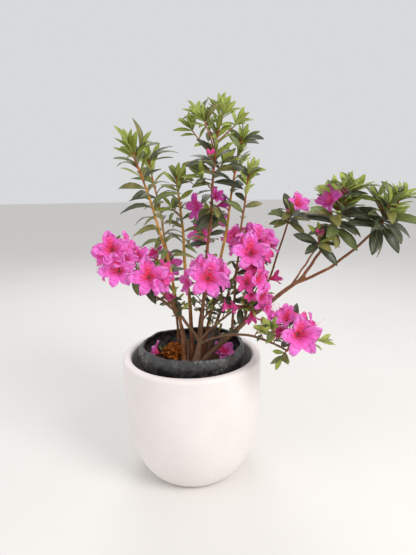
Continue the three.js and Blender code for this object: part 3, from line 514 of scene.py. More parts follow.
class Shrub:
    """All limbs, twigs, leaves, blooms and buds, grown by rule."""

    # painted shade: the blooms of these masses take the darker, bluer tint of petals in shade
    shaded_masses = ("centre_foliage", "right_fork_foliage")
    single_masses = ("back_centre_blooms",)  # no second bloom opens beside one of theirs
    large_bloom, small_bloom = 0.75, 0.62  # a large one has a second beside it, a small one isn't open
    deep_size, deep_luck = 0.66, 0.88  # smaller or luckier blooms than these are deep pink
    tip_share = 0.86  # leaves past this share of a stem are young ones
    leaf_roll = 56  # leaves turn about their own way by up to half of this
    light, lean = heading(-80, 34), 1.5  # and they turn their upper sides part of the way to the light
    crown = dict(size=0.96, longer=1.22, fresh=0.5)  # the twigs of a crown
    row_lifts, tuft_lifts = (18, 58), (28, 76)  # leaves along a stem and round its tip, from low to high
    young_sizes, old_sizes, tuft_sizes = (0.6, 0.8), (0.78, 1.08), (0.95, 0.72)
    old_tints = dict(narrow=dict(middle=0.4, olive=0.85, dark=1),
                     broad=dict(dark=0.56, middle=0.88, olive=1))
    twig_girth, side_girth, inner_girth = (0.0019, 0.0013), (0.0013, 0.0009), (0.0014, 0.0009)
    inner_reach, inner_slope, inner_sizes = (10, 26), (0.4, 1.3), (0.42, 0.62)
    face_depth, face_width = 1.1, 0.78  # the part of a bloom that no leaf may enter
    own_seed = dict(tuft=90, leaves=2, tips=60, side=30)  # each is added to the seed of the mass

    def __init__(self, scene):
        self.wood, self.leaf, self.bloom = scene.azalea_wood, scene.azalea_leaf, scene.azalea_bloom
        self.soil_top = scene.azalea_soil.top
        self.limbs, self.twigs, self.stalks = {}, [], []
        self.leaves, self.blooms, self.buds = [], [], []
        for row in LIMBS:
            parent = self.limbs.get(row.get("parent"))
            self.limbs[row["name"]] = Limb(row, parent, self.soil_top, self.wood.gnarl)
        for row in MASSES:
            self.grow_mass(row)
        for row in INNER_TWIGS:
            self.inner_twigs(*row)
        self.leaves = [leaf for leaf in self.leaves if not self.in_bloom(leaf)]

    def mass_stem(self, row):
        """What a mass grows along, the share where it begins, and the share of its first leaf."""
        limb = self.limbs[row["on"]]
        if "grow" not in row:
            return limb.growth, limb.leafy, limb.leafy + 0.02
        growth = Growth(limb.growth.point(1), *row["grow"])
        self.twigs.append((growth, limb.girth[1] * MM, self.twig_girth[0]))
        return growth, 0.0, 0.15

    def grow_mass(self, row):
        """The leaves of a mass along its stem, its tuft and its twigs."""
        growth, low, start = self.mass_stem(row)
        seed, size, blade = row["seed"], row["size"], row.get("blade", "broad")
        span, sag = (start, mix(low, 1, row.get("stop", 1))), row.get("sag", 16)
        self.leaf_rows(growth, seed, row["leaves"], size * 1.06, span, blade, self.tip_share, sag)
        tuft_size = self.crown["size"] if "crown" in row else size * 0.85
        self.rosette(growth, seed + self.own_seed["tuft"], row.get("tuft", 5), tuft_size)
        for k, twig in enumerate(row["twigs"]):
            self.grow_twig(row, k, growth.point(mix(low, 1, twig[0])), *twig)

    def grow_twig(self, row, k, start, at, turn, reach, rise, leaves, blooms=(), buds=()):
        """Twig k of a mass, with its leaves, blooms and buds."""
        seed, size, blade = row["seed"] + k, row["size"], row.get("blade", "broad")
        plain = dict(size=size, longer=1, fresh=row.get("fresh", 0.8))
        look = self.crown if at > row.get("crown", 1) else plain
        way = Growth(start, turn, reach * look["longer"], rise * look["longer"], gnarl=0.0006)
        self.twigs.append((way, *self.twig_girth))
        end = way.point(1)
        for bloom in blooms:
            self.set_truss(end, bloom, row["seed"], k, row["name"])
        for bud_turn, lift, share in buds:
            self.buds.append(Bloom(end, heading(bud_turn, lift), share, "bud", "deep"))
        self.leaf_rows(way, seed + self.own_seed["leaves"], leaves, look["size"], (0.4, 1), blade,
                       look["fresh"], 10)
        if leaves > 1:
            tips = 0 if buds else row.get("tips", 3)
            self.rosette(way, seed + self.own_seed["tips"], tips, look["size"] * 0.86)
        if leaves > 2 and row["name"].endswith("blooms"):
            self.side_twig(way, seed + self.own_seed["side"], size, blade)

    def set_truss(self, end, bloom, seed, k, mass):
        """A bloom, and next to a large one a second that opens from the same bud."""
        turn, lift, size = bloom
        purple, luck = mass in self.shaded_masses, chance(seed, k + turn)
        self.set_bloom(end, turn + 16 * (luck - 0.5), lift, size, luck, purple)
        if size > self.large_bloom and mass.endswith("blooms") and mass not in self.single_masses:
            aside = 66 if chance(seed, k + lift) > 0.5 else -66
            self.set_bloom(end, turn + aside, lift + 24 * (luck - 0.4), size * mix(0.66, 0.88, luck),
                           (luck * 7) % 1, purple)

    def set_bloom(self, end, turn, lift, size, luck, purple):
        """A bloom on its stalk, whose opening and tint follow from its size and its luck."""
        facing = heading(turn, lift)
        foot = end + facing * self.bloom.stalk
        kind = f"open_{int(luck * OPEN_KINDS)}"
        if size < self.small_bloom:
            kind = "wilted" if luck < 0.5 else "half_open"
        tint = "deep" if size < self.deep_size or luck > self.deep_luck else "bright"
        # blooms of the shaded masses take the darker, bluer tint, which is painted shade
        tint = "purple" if purple else "faded" if kind == "wilted" else tint
        self.blooms.append(Bloom(foot, facing, size, kind, tint, 44 * (luck - 0.5)))
        self.stalks.append((end, foot, facing))

    def leaf_rows(self, growth, seed, count, size, span, blade, fresh, sag=0):
        """Leaves in a spiral: low ones spread and hang, and the last ones stand up round the tip."""
        for i in range(count):
            share = mix(*span, ((i + 0.5) / count) ** 0.85)
            luck = chance(seed, i + 1)
            lift = mix(*self.row_lifts, share ** 3) + 16 * (luck - 0.5) - sag * (1 - i / count)
            young = share > fresh and luck > 0.2
            tint = "young" if young else self.old_tint(seed, i, blade)
            grown = mix(*self.young_sizes, luck) if young else mix(*self.old_sizes, chance(seed, i + 51))
            self.add_leaf(growth.point(share), growth.tangent(share), seed * 40 + i * GOLDEN_ANGLE, lift,
                          size * grown, "young" if young else blade, tint)

    def rosette(self, growth, seed, count, size):
        """Young leaves that stand up close together round a tip."""
        for i in range(count):
            lift = mix(*self.tuft_lifts, (i + 0.5) / count) + 14 * (chance(seed, i) - 0.5)
            share = mix(0.92, 1, i / count)
            tint = "young" if chance(seed, i + 9) > 0.12 else "middle"
            self.add_leaf(growth.point(share), growth.tangent(share), seed * 40 + i * GOLDEN_ANGLE, lift,
                          size * mix(*self.tuft_sizes, i / count), "young", tint)

    def side_twig(self, way, seed, size, blade):
        """A finer twig on one side of a twig, with a few small leaves."""
        turn = way.turn + (58 if chance(seed, 4) > 0.5 else -58) + 24 * (chance(seed, 5) - 0.5)
        reach = (0.34 * way.size + 0.005) / MM
        finer = Growth(way.point(0.55), turn, reach, reach * 1.1)
        self.twigs.append((finer, *self.side_girth))
        self.leaf_rows(finer, seed + 3, 2, size * 0.85, (0.5, 1), blade, 0.8)
        self.rosette(finer, seed + 5, 4, size * 0.62)

    def inner_twigs(self, name, seed, count, first, last):
        """Short leafy twigs low on a limb, in the shade of the blossom."""
        limb = self.limbs[name]
        for k in range(count):
            share = mix(first, last, (k + 0.5) / count)
            turn = limb.growth.turn + 90 + 180 * (k % 2) + 70 * (chance(seed, k) - 0.5)
            reach = mix(*self.inner_reach, chance(seed, k + 7))
            rise = reach * mix(*self.inner_slope, chance(seed, k + 3))
            way = Growth(limb.growth.point(share), turn, reach, rise)
            self.twigs.append((way, *self.inner_girth))
            size = mix(*self.inner_sizes, chance(seed, k + 9))
            self.leaf_rows(way, seed + k, 3, size, (0.4, 1), "broad", 0.8)

    def old_tint(self, seed, i, blade):
        """The tint of a grown leaf, by chance."""
        luck = chance(seed, i + 77)
        return next(tint for tint, most in self.old_tints[blade].items() if luck < most)

    def add_leaf(self, root, above, turn, lift, size, blade, tint):
        """A leaf that leaves its stem towards a turn, lifted towards the stem's tip."""
        sideways = heading(turn)
        sideways = (sideways - above * sideways.dot(above)).normalized()
        along = sideways * cos(radians(lift)) + above * sin(radians(lift))
        roll = self.leaf_roll * (chance(turn, lift) - 0.5)
        over = Matrix.Rotation(radians(roll), 3, along) @ (above + self.light * self.lean)
        self.leaves.append(Leaf(root, along, over, size, blade, tint))

    def in_bloom(self, leaf):
        """True where a leaf would stand in the face of a bloom."""
        marks = [leaf.place + leaf.along * self.leaf.long * leaf.size * share for share in (0.6, 1)]
        for bloom in self.blooms:
            middle = bloom.place + bloom.facing * self.bloom.depth * bloom.size * self.face_depth
            reach = self.bloom.radius * bloom.size * self.face_width
            if any((mark - middle).length < reach for mark in marks):
                return True
        return False


# Meshes

class Shape:
    """Points and faces that are gathered into one mesh."""

    def __init__(self):
        self.points, self.faces = [], []

    def add(self, points, faces):
        start = len(self.points)
        self.points.extend(points)
        self.faces.extend(tuple(start + i for i in face) for face in faces)
        return self

    def moved(self, change):
        self.points = [change(Vector(point)) for point in self.points]
        return self

    def mesh(self, name):
        mesh = bpy.data.meshes.new(name)
        mesh.from_pydata([tuple(point) for point in self.points], [], self.faces)
        mesh.polygons.foreach_set("use_smooth", [True] * len(mesh.polygons))
        mesh.update()
        return mesh


def barrel_faces(rings, sides):
    """Faces from a first point over rings of points to a last one."""
    last, faces = 1 + rings * sides, []
    for k in range(sides):
        after = (k + 1) % sides
        faces.append((0, 1 + after, 1 + k))
        for low in range(1, last - sides, sides):
            faces.append((low + k, low + after, low + sides + after, low + sides + k))
        faces.append((last, last - sides + k, last - sides + after))
    return faces


def grid_faces(rows, columns):
    """Faces between points that stand in rows."""
    return [(at, at + 1, at + 1 + columns, at + columns)
            for row in range(rows - 1) for at in range(row * columns, (row + 1) * columns - 1)]


def turned_over(faces):
    return [tuple(reversed(face)) for face in faces]


def revolve(profile, sides):
    """A closed turned shape, its profile led from the upright axis round its outside back to the axis."""
    points = [climb(profile[0][1])]
    for radius, height in profile[1:-1]:
        points += [polar(radius, 2 * pi * k / sides, height) for k in range(sides)]
    points.append(climb(profile[-1][1]))
    return Shape().add(points, barrel_faces(len(profile) - 2, sides))


def tube(shape, path, girths, sides=3):
    """Adds a thin closed tube along a few points to a shape."""
    points, faces = [], []
    for i, (place, girth) in enumerate(zip(path, girths)):
        along = (path[min(i + 1, len(path) - 1)] - path[max(i - 1, 0)]).normalized()
        side = along.orthogonal().normalized()
        other = along.cross(side)
        points += [place + (side * cos(2 * pi * k / sides) + other * sin(2 * pi * k / sides)) * girth
                   for k in range(sides)]
    for i in range(len(path) - 1):
        for k in range(sides):
            after = (k + 1) % sides
            faces.append((i * sides + k, i * sides + after, (i + 1) * sides + after, (i + 1) * sides + k))
    faces.append(tuple(reversed(range(sides))))
    faces.append(tuple(range(len(points) - sides, len(points))))
    return shape.add(points, faces)


def plate(shape, points, faces, thick):
    """Adds a sheet of faces as a closed plate of the given thickness to a shape."""
    normals = [Vector() for _ in points]
    for face in faces:
        a, b, c = (points[i] for i in face[:3])
        normal = (b - a).cross(c - a)
        for i in face:
            normals[i] += normal
    used = sorted({i for face in faces for i in face})
    place = {old: new for new, old in enumerate(used)}
    count = len(used)
    lifts = [normals[i].normalized() * thick / 2 for i in used]
    both = [points[i] + lift for i, lift in zip(used, lifts)]
    both += [points[i] - lift for i, lift in zip(used, lifts)]
    upper = [tuple(place[i] for i in face) for face in faces]
    edges = {(face[k], face[(k + 1) % len(face)]) for face in upper for k in range(len(face))}
    walls = [(b, a, a + count, b + count) for a, b in sorted(edges) if (b, a) not in edges]
    lower = [tuple(count + i for i in reversed(face)) for face in upper]
    return shape.add(both, upper + lower + walls)


# Leaves

class Blade:
    """A leaf that leads along +X: its length, width and outline, its bow and droop, and its fold."""

    stations = (0.12, 0.32, 0.54, 0.74, 0.9)  # the shares of its length where it has a ring of points
    thick, backing = 0.0007, 0.0003
    rib = 0.00042  # the radius of the midrib, and how it thins out
    rib_girths = (1.6, 1.3, 1, 0.85, 0.7, 0.5)
    inset, rib_rise = 0.93, 0.00012  # how the underside is drawn in, and how far the midrib stands out

    def __init__(self, long, width, blunt, full, bow, droop, fold):
        self.long, self.width, self.blunt, self.full = long, width, blunt, full
        self.bow, self.droop, self.fold = bow, droop, fold

    def half(self, share):
        """Half the width at a share of the length."""
        return self.width / 2 * sin(pi * share ** self.blunt) ** self.full

    def spine(self, share):
        rise = self.bow * 4 * share * (1 - share) - self.droop * share * share
        return Vector((self.long * (share - 0.1 * self.droop * share * share), 0, self.long * rise))

    def top(self):
        """The blade, a closed shell that is folded along its midrib."""
        points, sides = [climb(0)], (-1, -0.5, 0, 0.5, 1)
        for share in self.stations:
            spine, half = self.spine(share), self.half(share)
            points += [spine + Vector((0, side * half, abs(side) ** 1.4 * self.fold * half))
                       for side in sides]
            points.append(spine - climb(self.thick))
        points.append(self.spine(1))
        return Shape().add(points, turned_over(barrel_faces(len(self.stations), len(sides) + 1)))

    def underside(self):
        """The pale underside, with the midrib that shows as a line on top."""
        low, points = climb(self.backing), []
        for share in (0.02, *self.stations, 0.98):
            spine, half = self.spine(share), self.half(share) * self.inset
            points += [spine + Vector((0, -half, self.fold * half)) - low, spine - climb(self.thick) - low,
                       spine + Vector((0, half, self.fold * half)) - low]
        faces = turned_over(grid_faces(len(self.stations) + 2, 3))
        path = [self.spine(share) + climb(self.rib_rise) for share in (0, *self.stations[:-1], 0.92)]
        girths = [self.rib * share for share in self.rib_girths]
        return tube(plate(Shape(), points, faces, self.backing), path, girths)


BLADES = dict(
    broad=dict(blunt=1.1, full=0.75, bow=0.06, droop=0.16, fold=0.2),
    narrow=dict(blunt=0.98, full=0.95, bow=0.14, droop=0.34, fold=0.22),
    young=dict(blunt=1.12, full=0.8, bow=0.03, droop=0.05, fold=0.3),
)


# Blossom

PETAL_ROWS = (0.05, 0.12, 0.2, 0.3, 0.4, 0.5, 0.6, 0.7, 0.79, 0.87, 0.94, 0.985)
PETAL_COLUMNS = (-1, -0.83, -0.6, -0.36, -0.12, 0.12, 0.36, 0.6, 0.83, 1)
PETALS = 5
FUSED = 0.4  # up to this share of the radius the petals are one funnel
OPENINGS = dict(
    open_0=dict(seed=3, wide=1.0, tall=0.92, steep=2.1, wave=3.6),
    open_1=dict(seed=8, wide=1.0, tall=1.0, steep=1.9, wave=4.2),
    open_2=dict(seed=15, wide=0.97, tall=1.1, steep=1.7, wave=4.6),
    open_3=dict(seed=27, wide=1.02, tall=0.86, steep=2.3, wave=3.8),
    open_4=dict(seed=36, wide=0.96, tall=1.14, steep=1.6, wave=4.2),
    half_open=dict(seed=21, wide=0.76, tall=1.7, steep=1.3, wave=4.0),
    wilted=dict(seed=44, wide=0.74, tall=1.6, steep=1.2, wave=6.0, shut=0.46),
)
OPEN_KINDS = 5  # the first of the openings, which are fully open
ZONES = ("petals", "petal_edges", "petal_glow", "petal_blush", "petal_hearts")


def upper(i):
    """1 for the petal that points up, and less for the others, down to -0.8."""
    return cos(radians(i * 360 / PETALS))


class Corolla:
    """The petals of a bloom that faces +Z, the first of them towards +X."""

    thick = 0.0004
    funnel_half = 38  # half the turn that a petal takes in the fused funnel
    petal_half = 0.284  # half the width of a petal, as a share of the radius
    ruffle, crease, overlap = 0.0028, 0.0022, 0.0015
    stamen_count, stamen_steps = 7, 5
    filament_girths = (0.00038,) * 5 + (0.00028,)
    anther_girths = (0.0003, 0.00065, 0.0003)
    stamen_spread, stamen_length, longest_stamen = (0.24, 0.46), (0.86, 1.08), 1.22
    speck_size, speck_thick, speck_lift = 0.0009, 0.0003, 0.00045
    speck_rhos, speck_across = (0.38, 0.7), (-0.4, 0.4)
    borders = dict(petal_hearts=(0.15, 0.27), petal_blush=(0.23, 0.39), petal_glow=(0.32, 0.48))

    def __init__(self, bloom, seed, wide, tall, steep, wave, shut=0.0):
        self.radius, self.depth = bloom.radius * wide, bloom.depth * tall
        self.seed, self.steep, self.wave, self.shut = seed, steep, wave * MM, shut

    def point(self, i, rho, across):
        """A point of petal i, at a share of the radius and from -1 to 1 across."""
        out, luck = max((rho - FUSED) / (1 - FUSED), 0), chance(self.seed, i)
        wide = self.funnel_half if rho < FUSED else degrees(self.half(i, rho, out) / rho)
        bend = 9 * (luck - 0.5) * rho + 3 * out * sin(5 * rho + i + self.seed)
        turn = radians(i * 360 / PETALS + across * wide + bend)
        return polar(self.reach(i, rho, across, out), turn, self.rise(i, rho, across, out))

    def half(self, i, rho, out):
        """Half the width of petal i: rounded, wavy at its edge, and broader on the upper petals."""
        half = self.petal_half * max(1 - out ** 3.4, 0.002) ** 0.66
        half *= 1 + (0.33 + 0.16 * upper(i)) * sin(pi * out)
        return half * (1 + 0.09 * out * sin(15 * rho + 5 * i + self.seed))

    def reach(self, i, rho, across, out):
        """The way out from the middle: petals differ, the upper ones are longer, and a spent bloom shuts."""
        luck, other = chance(self.seed, i), chance(self.seed, i + 11)
        reach = self.radius * rho * (1 + out * mix(-0.07, 0.06, other)) * (1 + 0.09 * upper(i) * out)
        return reach * ((1 - self.shut * out) * (1 + 0.07 * out * sin(8 * across + 5 * luck)))

    def rise(self, i, rho, across, out):
        """The height over the foot: a funnel, a droop by chance, waves, ruffles and a creased midrib."""
        luck = chance(self.seed, i)
        rise = self.depth * tanh(self.steep * rho) / tanh(self.steep)
        rise -= self.radius * mix(0.02, 0.42, luck) * max(rho - 0.55, 0) ** 1.5
        waves = sin(3.4 * across + 5.5 * rho + 6 * luck)
        rise += self.wave * out ** 1.1 * waves * (0.3 + across * across)
        rise += self.ruffle * sin(8 * across + 9 * rho + 3 * i + self.seed) * out
        rise -= self.crease * exp(-(across / 0.3) ** 2) * min(3 * out, 1) * (1 - 0.4 * out)
        return rise + self.overlap * across * min(rho * 3, 1)

    def zone(self, i, rho, across):
        """The zone of a place on petal i: the throat's red reaches furthest out on the upper petals."""
        up = upper(i)
        far = (up if up > 0 else 0.25 * up) * (1 - across * across)
        ragged = rho + 0.03 * sin(9 * across + 4 * i + self.seed) * min(4 * rho, 1)
        for name, (near, more) in self.borders.items():
            if ragged < near + more * far:
                return name
        return "petal_edges" if ragged > mix(0.62, 0.8, (up + 0.81) / 1.81) else "petals"

    def petal(self, i):
        """The points of one petal, and its faces by their zone."""
        points = [self.point(i, rho, across) for rho in PETAL_ROWS for across in PETAL_COLUMNS]
        wide, zones = len(PETAL_COLUMNS), {zone: [] for zone in ZONES}
        for row in range(len(PETAL_ROWS) - 1):
            for column in range(wide - 1):
                at = row * wide + column
                rho = (PETAL_ROWS[row] + PETAL_ROWS[row + 1]) / 2
                across = (PETAL_COLUMNS[column] + PETAL_COLUMNS[column + 1]) / 2
                zones[self.zone(i, rho, across)].append((at, at + wide, at + wide + 1, at + 1))
        return points, zones

    def zones(self):
        """The petals as one shape for each zone."""
        shapes = {zone: Shape() for zone in ZONES}
        for i in range(PETALS):
            points, zones = self.petal(i)
            for zone, faces in zones.items():
                plate(shapes[zone], points, faces, self.thick)
        return shapes

    def specks(self):
        """Dark dots on the inner half of the three upper petals."""
        shape = Shape()
        for i in (PETALS - 1, 0, 1):
            for k in range(12 if i == 0 else 4):
                rho = mix(*self.speck_rhos, chance(self.seed + i, k))
                across = mix(*self.speck_across, chance(self.seed + i, k + 40))
                place = self.point(i, rho, across)
                out = (self.point(i, rho + 0.03, across) - place).normalized() * self.speck_size
                side = out.cross(climb(1)) * 0.42
                place = place + climb(self.speck_lift)
                corners = [place - out, place + side, place + out, place - side]
                plate(shape, corners, [(0, 1, 2, 3)], self.speck_thick)
        return shape

    def stamens(self):
        """Filaments that rise out of the throat and curl up, and the anthers at their ends."""
        filaments, anthers = Shape(), Shape()
        for k in range(self.stamen_count):
            turn = k * 360 / self.stamen_count + 20
            spread = mix(*self.stamen_spread, chance(self.seed, k + 30))
            stretch = mix(*self.stamen_length, chance(self.seed, k + 20))
            if k == self.stamen_count - 1:
                stretch = self.longest_stamen
            long, path = self.radius * stretch, []
            for step in range(self.stamen_steps + 1):
                share = step / self.stamen_steps
                out = heading(turn) * self.radius * spread * share
                lean = Vector((self.radius * 0.34 * (share ** 2.2) - self.radius * 0.1 * share, 0, 0))
                path.append(out + lean + climb(self.depth * 0.12 + long * share))
            end = path[-1]
            tube(filaments, path, self.filament_girths)
            tube(anthers, [end - climb(0.0008), end, end + climb(0.0012)], self.anther_girths, 4)
        return filaments, anthers


def calyx_shape():
    """The small green cup at the foot of a bloom, facing +Z."""
    profile = [(0, -0.0018), (0.0012, -0.0016), (0.0026, 0.0008), (0.0032, 0.004), (0.0022, 0.0042),
               (0, 0.003)]

    def toothed(p):
        return Vector((p.x, p.y, p.z * (1 + 0.35 * cos(PETALS * atan2(p.y, p.x)))))
    return revolve(profile, 10).moved(toothed)


def bud_shape():
    """A closed bud of twisted petals, facing +Z, its foot at the origin."""
    profile = [(0, -0.0006), (0.0022, 0), (0.0036, 0.0032), (0.0044, 0.0072), (0.0041, 0.011),
               (0.003, 0.0142), (0.0016, 0.0162), (0, 0.0172)]

    def twist(p):
        turn, out = atan2(p.y, p.x) + p.z * 130, hypot(p.x, p.y)
        out *= 1 + 0.14 * cos(PETALS * (atan2(p.y, p.x) - p.z * 60))
        return polar(out, turn, p.z)
    return revolve(profile, 15).moved(twist)


def bud_scales_shape():
    """Green scales that hold a bud, facing +Z."""
    shape, count = Shape(), 5
    levels = ((0.0016, 0.001, 0), (0.0046, 0.0019, 0.004), (0.0047, 0.0006, 0.009))
    for k in range(count):
        out, side = heading(k * 360 / count), heading(k * 360 / count + 90)
        points = [out * far + side * half * s + climb(high)
                  for far, half, high in levels for s in (-1, 0, 1)]
        plate(shape, points, grid_faces(len(levels), 3), 0.0004)
    return shape


# Node trees

def wire(tree, kind, inputs=None, **settings):
    """Adds a node, sets it, links or sets its inputs, named or numbered, and gives its outputs."""
    node = tree.nodes.new(kind)
    for key, value in settings.items():
        setattr(node, key, value)
    for key, value in (inputs or {}).items():
        if isinstance(value, bpy.types.NodeSocket):
            tree.links.new(value, node.inputs[key])
        else:
            node.inputs[key].default_value = value
    return node.outputs


def times(tree, first, second):
    return wire(tree, "ShaderNodeMath", {0: first, 1: second}, operation="MULTIPLY")[0]


def plus(tree, first, second):
    return wire(tree, "ShaderNodeMath", {0: first, 1: second}, operation="ADD")[0]


def stored(tree, name, kind):
    """What each point carries under a name."""
    return wire(tree, "GeometryNodeInputNamedAttribute", {"Name": name}, data_type=kind)[0]


def by_chance(tree, low, high, seed):
    """A vector between two others, by chance for each point."""
    limits = {0: low, 1: high, "Seed": seed}
    return wire(tree, "FunctionNodeRandomValue", limits, data_type="FLOAT_VECTOR")[0]


def as_turn(tree, angles):
    return wire(tree, "FunctionNodeEulerToRotation", {0: angles})[0]


def stand(tree, points, shapes, **inputs):
    """Stands shapes of a collection on points."""
    inputs = {key.replace("_", " ").title(): value for key, value in inputs.items()}
    picked = wire(tree, "GeometryNodeCollectionInfo", {"Collection": shapes, "Separate Children": True,
                                                       "Reset Children": True})[0]
    return wire(tree, "GeometryNodeInstanceOnPoints", {"Points": points, "Instance": picked,
                                                       "Pick Instance": True, **inputs})[0]


def open_tree(name, **sockets):
    """A geometry tree with a named group input of each kind, and its outputs."""
    tree = bpy.data.node_groups.new(name, "GeometryNodeTree")
    for label, kind in dict(Geometry="Geometry", **sockets, Finish="Material").items():
        tree.interface.new_socket(label, in_out="INPUT", socket_type="NodeSocket" + kind)
    tree.interface.new_socket("Geometry", in_out="OUTPUT", socket_type="NodeSocketGeometry")
    return tree, tree.nodes.new("NodeGroupInput").outputs


def close_tree(tree, geometry, finish):
    """Every tree ends in plain geometry with its material."""
    real = wire(tree, "GeometryNodeRealizeInstances", {"Geometry": geometry})[0]
    smooth = wire(tree, "GeometryNodeSetShadeSmooth", {"Geometry": real})[0]
    painted = wire(tree, "GeometryNodeSetMaterial", {"Geometry": smooth, "Material": finish})[0]
    wire(tree, "NodeGroupOutput", {0: painted})
    return tree


def set_out_tree():
    """Stands a shape of a collection on every point, by the point's own turn, size and kind."""
    tree, given = open_tree("Set out on points", Shapes="Collection", Jitter="Float", Seed="Int")
    least = times(tree, given["Jitter"], -1.0)
    shake = as_turn(tree, by_chance(tree, least, given["Jitter"], given["Seed"]))
    shaken = wire(tree, "FunctionNodeRotateRotation", {
        "Rotation": stored(tree, "turned", "QUATERNION"), "Rotate By": shake}, rotation_space="LOCAL")[0]
    stood = stand(tree, given["Geometry"], given["Shapes"], instance_index=stored(tree, "kind", "INT"),
                  rotation=shaken, scale=stored(tree, "size", "FLOAT"))
    return close_tree(tree, stood, given["Finish"])


def limb_tree():
    """Draws a round limb along every line of edges, by the girth of its points, with a relief of bark."""
    tree, given = open_tree("Limbs along lines", Sides="Int", Relief="Float", Grain="Float",
                            Stretch="Vector")
    lines = wire(tree, "GeometryNodeMeshToCurve", {"Mesh": given["Geometry"]})[0]
    ring = wire(tree, "GeometryNodeCurvePrimitiveCircle", {"Resolution": given["Sides"], "Radius": 1.0})[0]
    round_limb = wire(tree, "GeometryNodeCurveToMesh", {
        "Curve": lines, "Profile Curve": ring, "Fill Caps": True,
        "Scale": stored(tree, "girth", "FLOAT")})[0]
    place = wire(tree, "GeometryNodeInputPosition")[0]
    drawn_out = wire(tree, "ShaderNodeVectorMath", {0: place, 1: given["Stretch"]}, operation="MULTIPLY")[0]
    rough = wire(tree, "ShaderNodeTexNoise", {
        "Vector": drawn_out, "Scale": given["Grain"], "Detail": 3.0})[0]
    lift = times(tree, plus(tree, rough, -0.5), given["Relief"])
    normal = wire(tree, "GeometryNodeInputNormal")[0]
    offset = wire(tree, "ShaderNodeVectorMath", {0: normal, "Scale": lift}, operation="SCALE")[0]
    barked = wire(tree, "GeometryNodeSetPosition", {"Geometry": round_limb, "Offset": offset})[0]
    return close_tree(tree, barked, given["Finish"])


def scatter_tree():
    """Strews the shapes of a collection over a surface."""
    tree, given = open_tree("Strew over a surface", Shapes="Collection", Density="Float", Smallest="Float",
                            Largest="Float", Seed="Int")
    seed = given["Seed"]
    points = wire(tree, "GeometryNodeDistributePointsOnFaces", {
        "Mesh": given["Geometry"], "Density": given["Density"], "Seed": seed})[0]
    turn = as_turn(tree, by_chance(tree, (-0.5, -0.5, -pi), (0.5, 0.5, pi), seed))
    size = wire(tree, "FunctionNodeRandomValue", {2: given["Smallest"], 3: given["Largest"], "Seed": seed},
                data_type="FLOAT")[1]
    stood = stand(tree, points, given["Shapes"], rotation=turn, scale=size)
    return close_tree(tree, stood, given["Finish"])


TREES = {}  # the trees that are built so far


def new_object(name, data):
    """An object in the scene."""
    thing = bpy.data.objects.new(name, data)
    bpy.context.scene.collection.objects.link(thing)
    return thing


def grow_mesh(name, build_tree, mesh, **values):
    """The plain mesh that a tree makes of a mesh, with the tree's inputs set by name."""
    if build_tree not in TREES:
        TREES[build_tree] = build_tree()
    source = new_object(name + "_source", mesh)
    modifier = source.modifiers.new("Grow", "NODES")
    modifier.node_group = TREES[build_tree]
    for item in modifier.node_group.interface.items_tree:
        if item.in_out == "INPUT" and item.name in values:
            modifier[item.identifier] = values[item.name]
    depsgraph = bpy.context.evaluated_depsgraph_get()
    made = bpy.data.meshes.new_from_object(source.evaluated_get(depsgraph), depsgraph=depsgraph)
    bpy.data.objects.remove(source)
    made.name = name
    return made


def set_out(name, rows, shapes, jitter=0.0, seed=1):
    """The plain mesh of shapes that stand on rows of points."""
    return grow_mesh(name, set_out_tree, point_mesh(name + "_points", rows), Shapes=shapes, Jitter=jitter,
                     Seed=seed)


def standing(things, kinds=None):
    """Leaves or blooms as rows of points, with the number of their kind where it matters."""
    return [(thing.place, thing.turned, thing.size, kinds.index(thing.kind) if kinds else 0)
            for thing in things]


def shape_collection(name, shapes):
    """A collection of shapes that a tree picks from, in the order given. It isn't linked to the scene."""
    group = bpy.data.collections.new(name)
    for i, shape in enumerate(shapes):
        group.objects.link(bpy.data.objects.new(f"{name}_{i:02d}", shape.mesh(f"{name}_{i:02d}")))
    return group


def carry(mesh, name, kind, values):
    """Gives every point of a mesh a value under a name."""
    mesh.attributes.new(name, kind, "POINT").data.foreach_set("value", values)


def point_mesh(name, rows):
    """Points with a turn, size and kind each. rows are (place, turned, size, kind)."""
    mesh = bpy.data.meshes.new(name)
    mesh.vertices.add(len(rows))
    mesh.vertices.foreach_set("co", [c for row in rows for c in row[0]])
    carry(mesh, "turned", "QUATERNION", [c for row in rows for c in row[1]])
    carry(mesh, "size", "FLOAT", [row[2] for row in rows])
    carry(mesh, "kind", "INT", [row[3] for row in rows])
    return mesh


def line_mesh(name, lines):
    """Lines of edges whose points have a girth. lines are lists of (place, girth)."""
    mesh = bpy.data.meshes.new(name)
    points, edges = [], []
    for line in lines:
        edges += [(len(points) + i, len(points) + i + 1) for i in range(len(line) - 1)]
        points += line
    mesh.from_pydata([tuple(place) for place, _ in points], edges, [])
    carry(mesh, "girth", "FLOAT", [girth for _, girth in points])
    return mesh


def set_piece(name, mesh, finish, stands_for=()):
    """A finished piece of the object, which takes the place of the nodes it stands for."""
    piece = new_object(name, mesh)
    mesh.materials.clear()
    mesh.materials.append(finish)
    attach(piece, "root")
    if stands_for:
        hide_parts(*stands_for)
    return piece


# Materials

def new_finish(name, **constants):
    """A material, its tree and its shader, with the sockets that are the same all over set on the shader."""
    material = bpy.data.materials.new(name)
    material.use_nodes = True
    shader = material.node_tree.nodes["Principled BSDF"]
    for key, value in constants.items():
        shader.inputs[key.replace("_", " ").title().replace("Ior", "IOR")].default_value = value
    return material, material.node_tree, shader


def object_place(tree, stretch=None):
    place = wire(tree, "ShaderNodeTexCoord")["Object"]
    return wire(tree, "ShaderNodeMapping", {"Vector": place, "Scale": stretch})[0] if stretch else place


def object_parts(tree):
    """The place along X, Y and Z."""
    return wire(tree, "ShaderNodeSeparateXYZ", {0: object_place(tree)})


def grain(tree, place, scale, detail=4.0, roughness=0.55, distortion=0.0):
    return wire(tree, "ShaderNodeTexNoise", {"Vector": place, "Scale": scale, "Detail": detail,
                                             "Roughness": roughness, "Distortion": distortion})[0]


